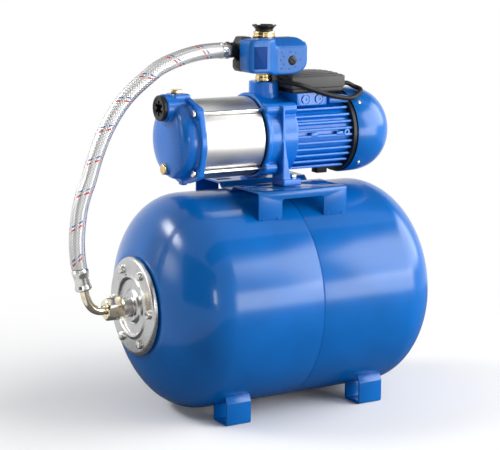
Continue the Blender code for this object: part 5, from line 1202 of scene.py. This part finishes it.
class PUMPSET_OT_plugs(PumpSetOperator, bpy.types.Operator):
    """Make the casing's three plugs"""

    bl_idname = "pump_set.plugs"
    bl_label = "Casing plugs"

    def build(self, sizes):
        at = (-214.3, 0, SUCTION_Z)
        brim, thread, head, socket = 21.8, 14.9, 7, 12.5
        plug = turned(eased([
            (-14, thread), (0, thread), (0, brim), (head - 1.5, brim), (head, brim - 1.5),
            (head, brim - 4.5), (head - 1.2, brim - 5.5), (head - 1.2, 2),
        ], 0.7), at, -X, 96)
        tools = [cylinder(at, -X, socket * 0.62, -6, head + 2, 48)]
        for turn in (0, 60, 120):
            key = spun(block(-3, 3, -socket, socket, -6, head + 2, X), turn, "X")
            tools.append(moved(spun(key, 180, "Z"), at))
        piece("star_plug", softened(cut(plug, *tools), 0.4, 2, 50), "black_plastic",
              ["suction_plug"], "inlet_plug")

        priming = [hexagon(11.2, 6.5, upright=True), cylinder(ORIGIN, Z, 6.0, -9, 1, 40)]
        piece("priming_hexagon", moved(merged(priming), (PRIMING_X, 0, PUMP_Z + 79.3)), "brass",
              ["priming_plug"], "filler_plug")
        drain = [hexagon(9.8, 6), cylinder(ORIGIN, -X, 5.0, -8, 1, 40)]
        piece("drain_hexagon", moved(merged(drain), (-208.3, 0, DRAIN_Z)), "brass",
              ["drain_plug"], "drain_screw")


class PUMPSET_OT_sleeve(PumpSetOperator, bpy.types.Operator):
    """Make the polished stage sleeve, its two seals and the four tie rods"""

    bl_idname = "pump_set.sleeve"
    bl_label = "Sleeve and tie rods"

    def build(self, sizes):
        front, rear, bore = -164.8, -53.2, 66
        wall = [(0, bore), (0, 68), (rear - front, 68), (rear - front, bore)]
        sleeve = turned(eased(wall, 0.5, closed=True), (front, 0, PUMP_Z), X, 256, hollow=True)
        piece("polished_sleeve", sleeve, "stainless_steel", ["stage_sleeve"])
        ring = eased([(0, bore), (0, 68.9), (2.6, 68.9), (2.6, bore)], 0.8, closed=True)
        seals = [turned(ring, (x, 0, PUMP_Z), X, 160, hollow=True)
                 for x in (CASING_BACK_X + GAP, rear + GAP)]
        piece("sleeve_gaskets", merged(seals), "black_rubber",
              ["sleeve_seal_front", "sleeve_seal_rear"])

        under = CASING_BACK_X - 12 - GAP
        end = ADAPTER_X + 18 - under
        rod = turned([(-2, 3.3), (end - 0.8, 3.3), (end, 2.6)], ORIGIN, X, 32)
        rods = spots(merged([hexagon(6.6, 5.3), rod]),
                     [(under, y, PUMP_Z + z) for y, z in ROD_PLACES], "nickel_plate")
        piece("tie_rods", rods, "nickel_plate", [f"tie_rod_{number}" for number in (1, 2, 3, 4)])


class PUMPSET_OT_adapter(PumpSetOperator, bpy.types.Operator):
    """Cast the motor adapter with its discharge boss, ribs, legs and feet"""

    bl_idname = "pump_set.adapter"
    bl_label = "Motor adapter"

    def build(self, sizes):
        long, body, at = 62.5, 70.5, (ADAPTER_X, 0, PUMP_Z)
        profile = [(0, 73.5), (0.8, 74), (7, 74), (9, body), (long - 2, body), (long, body - 1.5)]
        solids = [
            turned(profile, at, X, 144),
            *at_rods(ADAPTER_X, X, 0.5, long - 1, [row for row in ROD_PLACES if row[1] > 0]),
            *at_rods(ADAPTER_X, X, 0.5, 24, [row for row in ROD_PLACES if row[1] < 0]),
            turned([(40, 32), (58, 30), (66, 27.2), (74, 25.7), (91.8, 25.7), (93, 24.5)],
                   (PIPE_X, 0, PUMP_Z), Z, 96),
        ]
        low, left = SADDLE_TOP_Z + GAP, -21.5
        for front in (-1, 1):
            inward, side = front * 36.6, front * 71.8
            solids += [
                wedge([(inward, low), (side, low), (side, PUMP_Z + 54), (inward, PUMP_Z + 60)],
                      left, left + 4, X, 0.8),
                wedge([(left, low), (left + 18, low), (left + 4, PUMP_Z - 6), (left, PUMP_Z - 6)],
                      inward, front * 73.3, Y, 0.8),
                softened(block(left, 14, low, low + 11.5, inward, front * 75.5, Y), 1.2, 2),
            ]
        bearing, shaft = 20.3, 9.6
        room = turned([(-5, 58), (24, 58), (24, 16.3), (34, 16.3), (34, shaft),
                       (long - 12.3, shaft), (long - 12.3, bearing), (long + 3, bearing)],
                      at, X, 96)
        cast = cut(casting(solids, 1.05, 4), room,
                   cylinder((PIPE_X, 0, 565), -Z, 13.2, -5, 43),
                   block(6.1, 40, -40, 40, 546.5, 570, Z),
                   block(-60, 60, -90, 90, low - 12, low, Z))
        piece("cast_motor_adapter", cast, "blue_cast_paint", ["motor_adapter"])


# Motor

class PUMPSET_OT_motor(PumpSetOperator, bpy.types.Operator):
    """Cast the finned motor housing and make its end shield and rest"""

    bl_idname = "pump_set.motor"
    bl_label = "Motor"

    def build(self, sizes):
        at, top = (MOTOR_X, 0, PUMP_Z), BOX_Z - GAP
        half = sizes.fin_thickness / MM / 2
        tip, round_over = 0.022, 1.3
        turns = [math.radians(turn) for turn in range(0, 91, 18)]
        side = [(1 - tip + tip * math.sin(t), half - round_over * (1 - math.cos(t)))
                for t in turns]
        outline = side + [(y, -z) for y, z in side[::-1]]
        outline += [(-y, -z) for y, z in side] + [(-y, z) for y, z in side[::-1]]
        fins = row_pattern().made(
            prism(outline, 0, MOTOR_LENGTH, X), "blue_cast_paint", Count=sizes.motor_fins,
            Pitch=sizes.fin_pitch / MM, Reach=68.2, Least_Reach=26, Middle=at)

        def plinth(left, right, low, high, start, end):
            return softened(block(left, right, low, high, start, end, Y), 0.8, 2)

        solids = [fins, plinth(13, 73, PUMP_Z + 53, top + 4, -60, 60),
                  plinth(84, 122, PUMP_Z + 54, PUMP_Z + 66, -52, 52)]
        grooves = []
        for front in (-1, 1):
            out = Y * front
            for x in (30, 57):
                place = (x, front * 60, 535.7)
                ring = [(-1.5, 7.0), (-1.5, 8.8), (3, 8.8), (3, 7.0)]
                grooves += [turned(ring, place, out, 40, hollow=True),
                            cylinder(place, out, 2.6, 0.2, 4, 32)]
                solids.append(turned(eased([(-3, 7.1), (1.2, 7.1)], 0.4), place, out, 40))
            solids += [plinth(x, x + 14, PUMP_Z - 0.5, PUMP_Z + 6.5, front * 50, front * 68.6)
                       for x in (37, 89)]
            eye = (110, front * 60, PUMP_Z + 4.5)
            solids.append(turned(eased([(-10, 5.6), (9.6, 5.6)], 0.8), eye, out, 32))
            grooves.append(cylinder(eye, out, 2.4, 4, 12, 24))
        cast = boolean(cylinder(at, X, 60.5, 0, MOTOR_LENGTH, 144), "UNION", solids)
        ends = [block(-90, 90, 380, 560, start, start + 10, X)
                for start in (MOTOR_X - 10, MOTOR_X + MOTOR_LENGTH)]
        cast = cut(cast, cylinder(at, X, 56, -5, MOTOR_LENGTH + 5, 96),
                   block(0, 130, -70, 70, top, top + 20, Z),
                   cylinder((LEAD_HOLE_X, 0, PUMP_Z), Z, 9, 40, 90, 32), *grooves, *ends)
        piece("finned_housing", cast, "blue_cast_paint", ["motor_housing"])

        shield = turned(eased([
            (-1, 20.3), (-1, 24.3), (0, 26.3), (0, 72.5), (8, 72.5), (8, 28.3), (13.8, 22.3),
            (13.8, 7.6), (10.8, 7.6), (10.8, 20.3),
        ], 1.2, closed=True), (SHIELD_X, 0, PUMP_Z), X, 144, hollow=True)
        piece("rear_shield", shield, "black_plastic", ["end_shield"])

        high = PUMP_Z - 59.9
        piece("rubber_rest", plinth(87, 108, high - 14.3, high, -10, 8), "black_rubber",
              ["motor_rest"])


class PUMPSET_OT_fan_cover(PumpSetOperator, bpy.types.Operator):
    """Press the fan cover, pierce its grille and fit its four screws"""

    bl_idname = "pump_set.fan_cover"
    bl_label = "Fan cover"

    def build(self, sizes):
        straight, wall, grille, radius, power = 20, 1.6, 33, 74.8, 2.35
        outer = dome(straight, 71, radius, power, grille, 40)
        end = outer[-1][0]
        inner = [point for point in dome(straight, 69.4, radius - wall, power, grille - 2, 30)
                 if point[0] < end - wall * 1.1]
        profile = [(end - wall, 0), (end - wall, grille - 4), *inner[::-1], (0, radius - wall),
                   (0, radius), *outer[:-1], (end, grille - 1), (end, 0)]
        cover = turned(profile, (FAN_COVER_X, 0, PUMP_Z), X, 192)
        tools = []
        for low in (10, 19):
            high, gap = low + 5, math.degrees(2.5 / low)
            outline = arc(ORIGIN, high, gap, 120 - gap, 24) + arc(ORIGIN, low, 120 - gap, gap, 24)
            unit = prism(outline, end - 4 * wall, end + 2 * wall, X, (FAN_COVER_X, 0, 0))
            tools.append(ring_pattern().made(unit, "blue_enamel", Count=3, Radius=0.0,
                                             First_Angle=0.0, Middle=(0, 0, PUMP_Z)))
        piece("pressed_fan_cover", softened(cut(cover, *tools), 0.35, 2, 50), "blue_enamel",
              ["fan_cover"])
        screw = turned(eased([(-1, 3.6), (0.8, 3.6), (2.4, 2.0)], 0.8), ORIGIN, Y, 32)
        keys = [block(-2.2, 2.2, -0.4, 0.4, 1.4, 4, Y), block(-0.4, 0.4, -2.2, 2.2, 1.4, 4, Y)]
        screws = ring_pattern().made(
            cut(screw, *keys), "nickel_plate", Count=4, Radius=74.6, First_Angle=math.pi / 4,
            Middle=(FAN_COVER_X + 14, 0, PUMP_Z))
        piece("fan_cover_screws", screws, "nickel_plate")


# Terminal box

class PUMPSET_OT_terminal_box(PumpSetOperator, bpy.types.Operator):
    """Mould the terminal box's tray and its ribbed lid"""

    bl_idname = "pump_set.terminal_box"
    bl_label = "Terminal box"

    def build(self, sizes):
        half, lip, wall, left, right = BOX_HALF_DEPTH, 1.5, 2, BOX_X, BOX_X + BOX_LENGTH

        def tray_block(skin, low, high, ease):
            return block(left + skin, right - skin, skin - half, half - skin, low, high, Z,
                         ease=ease, steps=6)

        tray = cut(tray_block(lip, BOX_Z, BOX_Z + 7, 3),
                   tray_block(lip + wall, BOX_Z + wall, BOX_Z + 12, 2),
                   cylinder((LEAD_HOLE_X, 0, BOX_Z), Z, 9, -5, 5, 32))
        piece("box_tray", softened(tray, 0.5, 2), "black_plastic", ["terminal_box"])

        low, side, crown, steps = BOX_Z + 7.3, 19.3, 3, 32
        top = [(-half + 2 * half * i / steps, low + side + crown * (1 - (2 * i / steps - 1) ** 2))
               for i in range(steps + 1)]
        lid = prism([(-half, low)] + top + [(half, low)], left, right, X)
        inside = block(left + wall, right - wall, wall - half, half - wall, low - 5,
                       low + side - wall, Z)
        lid = softened(cut(lid, inside), 1.0, 3, 50)
        width = 2 * half / sizes.lid_ribs - 4
        rib = block(left + 3, right - 3, -width / 2, width / 2, -1.2, 1.2, Z)
        ribs = crown_pattern().made(
            softened(rib, 0.5, 2), "black_plastic", Count=sizes.lid_ribs, Span=2 * half - 4,
            Crown=crown, Middle=(0, 0, low + side))
        piece("ribbed_lid", merged([lid, ribs]), "black_plastic", ["terminal_lid"],
              look="lid_plastic")


# Controller

def cover_plan():
    """The cover seen from above, in (X, Y): a broad front face, then a dip to the dial's lobe."""
    left, right = CONTROLLER_LEFT_X, CONTROLLER_RIGHT_X
    face, lobe, back = COVER_FACE_Y, COVER_LOBE_Y, BODY_FRONT_Y + 6
    dip = [i / 28 for i in range(29)]
    return [(left + 0.6, back), *arc((left + 9, face + 9), 9, 180, 270, 12),
            *[(-41 + 28 * t, face + (lobe - face) * (1 - math.cos(math.pi * t)) / 2) for t in dip],
            *arc((right - 6, lobe + 6), 6, -90, 0, 8), (right, back)]


def cover_front():
    """The cover seen from the front, in (X, Z): square left, round right end."""
    left, right, top = CONTROLLER_LEFT_X, CONTROLLER_RIGHT_X, CONTROLLER_HEIGHT
    dial, lobe, radius = 19, 24.5, CONTROLLER_RIGHT_X - DIAL_X
    low = dial - lobe
    return [*arc((left + 8, top - 8), 8, 180, 90, 10), *arc((right - 17, top - 17), 17, 90, 8, 16),
            *[(x, z if z > dial else dial - (dial - z) * lobe / radius)
              for x, z in arc((DIAL_X, dial), radius, 12, -90, 24)],
            (-13, low), (-24, low + 0.6), (-35, -1), *arc((left + 10, 10), 10, 270, 180, 10)]


class PUMPSET_OT_controller(PumpSetOperator, bpy.types.Operator):
    """Mould the pressure controller: blue cover, dial with its scale and black body"""

    bl_idname = "pump_set.controller"
    bl_label = "Controller"

    def build(self, sizes):
        foot, top, back = (0, 0, CONTROLLER_Z), CONTROLLER_HEIGHT, BODY_FRONT_Y - GAP
        face, lobe = COVER_FACE_Y, COVER_LOBE_Y
        cover = boolean(prism(cover_plan(), -12, top + 5, Z, foot), "INTERSECT",
                        [prism(cover_front(), face - 5, back + 7, Y, foot)])
        slope = prism([(face - 5, 39.5), (lobe, 43.5), (back - 3, top), (back - 3, top + 10),
                       (face - 5, top + 10)], -21, CONTROLLER_RIGHT_X + 10, X, foot)
        cover = casting([cut(cover, slope)], 1.1, 70)
        cover = cut(
            cover, block(-69.0, -43.5, 7, 45, face - 5, face + 0.7, Y, foot, 1.5),
            block(-72, 35, 7, 44.6, lobe + 2.4, back + 5, Y, foot, 3),
            cylinder((DIAL_X, lobe, DIAL_Z), Y, 8.3, -5, 8),
            block(-90, 60, -20, top + 20, back, back + 20, Y, foot))
        piece("blue_cover", cover, "blue_plastic", ["controller_cover"])

        field = block(-68.7, -43.8, 7.3, 44.7, face + 0.2, face + 0.7, Y, foot, 1.2)
        piece("label_field", softened(field, 0.15, 2), "blue_plastic", look="label_field")

        places = [(DIAL_X + x, lobe, DIAL_Z + z) for x, z in SCALE_MARKS]
        tick = softened(prism([(-1.4, -1.1), (2.8, 0), (-1.4, 1.1)], -0.45, 0.6, Y), 0.15, 2)
        piece("scale_wedges", spots(tick, places, "blue_plastic"), "blue_plastic",
              look="label_field")
        dot = turned(eased([(-0.6, 0.6), (0.6, 0.6)], 0.2), (-2.6, 0, 0), -Y, 16)
        piece("scale_dots", spots(dot, places, "blue_plastic"), "blue_plastic", look="pale_mark")

        rise = BODY_FRONT_Y - lobe
        dial = turned(eased([(GAP, 3), (rise - 6, 3), (rise - 6, 8), (rise + 0.6, 8),
                             (rise + 1.2, 7.2)], 0.5), (DIAL_X, BODY_FRONT_Y, DIAL_Z), -Y, 72)
        groove = spun(block(-5.2, 5.2, -1, 1, lobe - 3, lobe + 1.2, Y), 40, "Y")
        piece("slotted_dial", cut(dial, moved(groove, (DIAL_X, 0, DIAL_Z))), "black_plastic",
              ["controller_dial"], "dial")

        left, right = CONTROLLER_LEFT_X, CONTROLLER_RIGHT_X - 3
        outline = [(left + 4, 1), (left, 7), (left, 19), (left + 4.5, 25), (left + 4.5, 35),
                   (left, 41), (left, top - 8), (left + 6, top + 2.5), (left + 22, top + 2.5),
                   (left + 26, top - 1), (right - 8, top - 1), (right, top - 12), (right, 4),
                   (right - 6, 0), (left + 14, 0)]
        body = prism(eased(outline, 4, 5, True), BODY_FRONT_Y, 4, Y, foot)
        pipe, port = (PIPE_X, 0, CONTROLLER_Z), (PIPE_X, 0, PORT_Z)
        body = boolean(softened(body, 1.2, 3, 50), "UNION", [
            turned(eased([(0, 13), (68, 13)], 0.8), port, -X, 64),
            turned(eased([(0, 13), (63, 13)], 0.8), port, X, 64),
            turned([(1, 19.7), (top, 19.7)], pipe, Z, 80),
        ])
        bores = [cylinder(pipe, Z, radius, start, end)
                 for radius, start, end in ((13.2, 15, top + 5), (8, -5, top), (14.2, -5, 11))]
        bores += [cylinder(port, -X, 9, 0, 90), cylinder(port, X, 9, 0, 90)]
        piece("flow_body", cut(body, *bores), "black_plastic", ["controller_body"])


class PUMPSET_OT_fittings(PumpSetOperator, bpy.types.Operator):
    """Turn the brass and nickel fittings round the controller, and the black outlet cap"""

    bl_idname = "pump_set.fittings"
    bl_label = "Controller fittings"

    def build(self, sizes):
        nipple = turned(eased([
            (-29, 9.5), (-29, 12.9), (-17.7, 12.9), (-17.7, 14.9), (-11.5, 14.9), (-10.5, 14.1),
            (-6.5, 14.1), (-5.5, 14.9), (-GAP, 14.9), (-GAP, 13.9), (10.7, 13.9), (10.7, 9.5),
        ], 0.5, closed=True), (PIPE_X, 0, CONTROLLER_Z), Z, 80, hollow=True)
        piece("brass_nipple", nipple, "brass", ["inlet_nipple"])

        place = (PIPE_X, 0, CONTROLLER_Z + CONTROLLER_HEIGHT + GAP)
        ring = turned(eased([
            (0, 13.6), (0, 19), (2.6, 19), (3.4, 18.2), (5.8, 18.2), (6.6, 19), (9.2, 18.6),
            (9.2, 13.6),
        ], 0.5, closed=True), place, Z, 96, hollow=True)
        piece("brass_ring", ring, "brass", ["outlet_ring"])

        cap = turned(eased([
            (-8, 13.3), (0, 13.3), (0, 15.2), (3.3, 15.2), (8.2, 19.2), (8.8, 20.7), (11, 20.7),
            (11, 18.6), (8.2, 13.2), (2, 13.0), (2, 1),
        ], 0.7), ORIGIN, Z, 96)
        wing = softened(block(-1.4, 1.4, -13.3, 13.3, 1.5, 8.6, Z), 0.4, 2)
        cap = cut(cap, *crossed(block(-4.5, 4.5, -30, 30, 9.4, 14, Z)))
        cap = moved(merged([cap, *crossed(wing)]), Vector(place) + Z * 9.5)
        piece("outlet_stopper", cap, "black_plastic", ["outlet_cap"], "outlet_plug")

        plug = turned(eased([
            (-10, 8.7), (0, 8.7), (0, 10), (3, 10), (4, 8.8), (6, 8.8), (7, 10), (17, 10), (19, 8),
        ], 0.6), (CONTROLLER_RIGHT_X + GAP, 0, PORT_Z), X, 64)
        piece("side_stopper", plug, "nickel_plate", ["side_plug"])

        nut = turned([(0, 13.8), (0.8, 14.6), (7.7, 14.6), (8.5, 13.8)], (-85.8, 0, PORT_Z), -X, 6)
        piece("hose_union_nut", softened(nut, 0.5, 3, 20), "nickel_plate", ["hose_nut_upper"],
              look="smoked_nickel")


class PUMPSET_OT_elbow(PumpSetOperator, bpy.types.Operator):
    """Bend the brass elbow and make its union nut"""

    bl_idname = "pump_set.elbow"
    bl_label = "Elbow and nut"

    def build(self, sizes):
        route = smooth_route(ELBOW_PATH, 2)
        piece("brass_elbow", swept(route, 7.5, 40), "brass", ["elbow"], look="warm_nickel")
        at = (-292.8, 0, TANK_Z)
        cone = turned([(-1, 18.2), (1.5, 19.7), (26, 19.7), (30, 16.2)], at, -X, 64)
        head = boolean(cylinder(at, -X, 19.6, 0, 30, 6), "INTERSECT", [cone])
        collar = turned(eased([(24, 13.5), (30, 13.5)], 0.8), at, -X, 64)
        nut = boolean(head, "UNION", [cylinder(at, -X, 12.2, -12, 5), collar])
        nut = softened(cut(nut, cylinder(at, -X, 7.9, -20, 35, 40)), 0.5, 3, 30)
        piece("union_nut", nut, "brass", ["elbow_nut"], look="warm_nickel")


class PUMPSET_OT_inside(PumpSetOperator, bpy.types.Operator):
    """Give the pieces inside the pump, motor, tank and controller their finishes"""

    bl_idname = "pump_set.inside"
    bl_label = "Inner pieces"

    def build(self, sizes):
        slots = {part["node"]: part["material_slot"] for part in frame["record"]["subparts"]}
        for name, item in frame["nodes"].items():
            if name not in slots:
                raise RuntimeError("no finish is recorded for " + name)
            for holder in item.material_slots:
                holder.material = LOOKS[slots[name]]


# Stage, in metres and degrees

# Name, then bearing, height angle and distance, size, brightness, share of the width that fades
LAMPS = [
    ("high_soft_box", (62, 25, 3.2), (4.4, 2.6), 6.6, 0.22),
    ("low_soft_box", (33, 2, 1.9), (2.0, 0.80), 7.5, 0.30),
    ("left_soft_box", (-121, 36, 3.0), (2.3, 0.80), 25.0, 0.40),
    ("left_low_box", (-110, 15, 3.2), (2.2, 1.4), 4.6, 0.45),
    ("window_lamp", (-35, 9, 3.4), (0.40, 0.80), 13.0, 0.10),
]

# Name, then bearing, height angle and distance, size, tone and shift
CARDS = [
    ("high_card", (10, 58, 3.2), (5.2, 1.0), 0.17, (0, 0, 0)),
    ("rear_card", (135, 46, 3.6), (4.6, 2.1), 0.17, (0, 0, 0)),
    ("front_card", (-62, 18, 4.2), (4.6, 3.0), 0.17, (0, 0, 0)),
    # The low card lies just over the floor and is seen only in reflections, where it paints the
    # floor as shaded.
    ("low_card", (0, -90, 0.318), (1.9, 1.9), 0.15, (0.44, -0.52, 0)),
]


def away(turn, rise):
    """The direction at a bearing from the front and a height angle, both in radians."""
    return Vector((math.sin(turn) * math.cos(rise), -math.cos(turn) * math.cos(rise),
                   math.sin(rise)))


def around(bearing, height, distance):
    """A place that far from the set's middle, and the turn that faces it."""
    back = away(math.radians(bearing), math.radians(height))
    return Vector((0.04, 0, 0.32)) + back * distance, back.to_track_quat("Z", "Y")


def seen_directly(tree):
    """1 for rays from the camera and for those mirrored or passed on, else 0."""
    path = tree.tree.nodes.new("ShaderNodeLightPath")
    camera, glossy, passed = [Value(tree, path.outputs[kind]) for kind in (
        "Is Camera Ray", "Is Glossy Ray", "Is Transmission Ray")]
    return (camera + glossy + passed).sum("MINIMUM", 1.0)


class PUMPSET_OT_stage(PumpSetOperator, bpy.types.Operator):
    """Set up the camera, the floor, the lamps and the pale surroundings"""

    bl_idname = "pump_set.stage"
    bl_label = "Stage"

    def build(self, sizes):
        scene = bpy.context.scene
        back, roll = away(-0.5283, 0.1859), 0.0063
        level = Z.cross(back).normalized()
        upright = back.cross(level)
        right = level * math.cos(roll) + upright * math.sin(roll)
        up = upright * math.cos(roll) - level * math.sin(roll)
        camera = bpy.data.cameras.new("camera")
        camera.lens = 118.8
        camera.sensor_width = 36.0
        camera.sensor_fit = "HORIZONTAL"
        holder = link(bpy.data.objects.new("camera", camera))
        turn = Matrix((right, up, back)).transposed()
        holder.matrix_world = Matrix.Translation((-1.4265, -2.4355, 0.8450)) @ turn.to_4x4()
        scene.camera = holder
        scene.view_settings.view_transform = "Standard"

        self.floor(sizes.floor_tone)
        world = bpy.data.worlds.new("pale_room")
        world.use_nodes = True
        room = NodeTree(world.node_tree)
        background = world.node_tree.nodes["Background"]
        background.inputs["Color"].default_value = (1.0, 1.0, 1.0, 1.0)
        room.feed(background.inputs["Strength"], seen_directly(room) * 0.80 + 0.20)
        scene.world = world
        for row in LAMPS:
            self.lamp(*row)
        for row in CARDS:
            self.card(*row)

    def floor(self, tone):
        shape = bmesh.new()
        bmesh.ops.create_grid(shape, x_segments=8, y_segments=8, size=9.0)
        data = mesh_of(shape)
        look = Look("pale_floor", roughness=0.7, specular=0.1)
        pale = look.mix(look.noise(600), (tone,) * 3, (tone * 0.985,) * 3)
        # Painted shade: rays bounced off the floor find it a dark grey, which darkens the set's
        # undersides; the camera and reflections see it pale.
        look.set("Base Color", look.mix(seen_directly(look), (0.34, 0.34, 0.34), pale))
        x, y, _ = look.parts(look.place)
        far = look.between((x * x + y * y) ** 0.5, 0.38, 0.95)
        glow = look.node("ShaderNodeEmission", {}, {"Color": (1.0, 1.0, 1.0), "Strength": 1.0})
        shown = look.node("ShaderNodeMixShader", {}, [
            seen_directly(look) * far, Value(look, look.surface.outputs[0]), glow])
        look.tree.links.new(shown.socket, look.tree.nodes["Material Output"].inputs["Surface"])
        data.materials.append(look.material)
        link(bpy.data.objects.new("floor", data))

    def lamp(self, name, place, size, brightness, fade):
        """A soft box that many times as bright as a white sheet, fading towards its edges."""
        data = bpy.data.lights.new(name, "AREA")
        data.shape = "RECTANGLE"
        data.size, data.size_y = size
        data.energy = brightness * math.pi * size[0] * size[1]
        data.use_nodes = True
        tree = NodeTree(data.node_tree)
        across, along, _ = tree.parts(tree.node("ShaderNodeNewGeometry", output="Parametric"))
        edges = [tree.node("ShaderNodeMapRange", {"interpolation_type": "SMOOTHSTEP"},
                           [0.5 - (side - 0.5).sum("ABSOLUTE"), 0.0, fade, 0.0, 1.0])
                 for side in (across, along)]
        tree.feed(data.node_tree.nodes["Emission"].inputs["Strength"], edges[0] * edges[1])
        item = link(bpy.data.objects.new(name, data))
        item.visible_camera = False
        item.location, turn = around(*place)
        item.rotation_euler = turn.to_euler()

    def card(self, name, place, size, tone, shift):
        """A grey card, which gives the gloss and the metal something dark to mirror."""
        middle, turn = around(*place)
        shape = bmesh.new()
        bmesh.ops.create_grid(shape, x_segments=4, y_segments=4, size=0.5)
        bmesh.ops.scale(shape, vec=(*size, 1.0), verts=shape.verts)
        bmesh.ops.rotate(shape, matrix=turn.to_matrix(), verts=shape.verts)
        bmesh.ops.translate(shape, vec=middle + Vector(shift), verts=shape.verts)
        data = mesh_of(shape)
        look = Look(name + "_grey", roughness=0.9)
        look.set("Base Color", look.mix(look.noise(500), (tone * 0.9,) * 3, (tone * 1.1,) * 3))
        data.materials.append(look.material)
        item = link(bpy.data.objects.new(name, data))
        item.visible_camera = False
        item.visible_diffuse = False
        item.visible_shadow = False


STEPS = (
    PUMPSET_OT_stage, PUMPSET_OT_hose, PUMPSET_OT_cable, PUMPSET_OT_inside, PUMPSET_OT_tank,
    PUMPSET_OT_flange, PUMPSET_OT_valve_cap, PUMPSET_OT_feet, PUMPSET_OT_saddle,
    PUMPSET_OT_suction_casing, PUMPSET_OT_plugs, PUMPSET_OT_sleeve, PUMPSET_OT_adapter,
    PUMPSET_OT_motor, PUMPSET_OT_fan_cover, PUMPSET_OT_terminal_box, PUMPSET_OT_controller,
    PUMPSET_OT_fittings, PUMPSET_OT_elbow,
)


class PUMPSET_PT_steps(bpy.types.Panel):
    """The steps that build the set, in their order"""

    bl_idname = "PUMPSET_PT_steps"
    bl_label = "Booster pump set"
    bl_space_type = "VIEW_3D"
    bl_region_type = "UI"
    bl_category = "Pump set"

    def draw(self, context):
        for step in STEPS:
            self.layout.operator(step.bl_idname)
        for group in (context.scene.pump_set_colours, context.scene.pump_set_sizes):
            for name in group.bl_rna.properties.keys():
                if name not in ("rna_type", "name"):
                    self.layout.prop(group, name)


CLASSES = (PumpSetColours, PumpSetSizes, *STEPS, PUMPSET_PT_steps)


def register():
    for item in CLASSES:
        bpy.utils.register_class(item)
    bpy.types.Scene.pump_set_colours = bpy.props.PointerProperty(type=PumpSetColours)
    bpy.types.Scene.pump_set_sizes = bpy.props.PointerProperty(type=PumpSetSizes)


def unregister():
    del bpy.types.Scene.pump_set_sizes
    del bpy.types.Scene.pump_set_colours
    for item in reversed(CLASSES):
        bpy.utils.unregister_class(item)


def main():
    """Builds the whole set."""
    register()
    for step in STEPS:
        group, name = step.bl_idname.split(".")
        getattr(getattr(bpy.ops, group), name)()


if __name__ == "__main__":
    main()
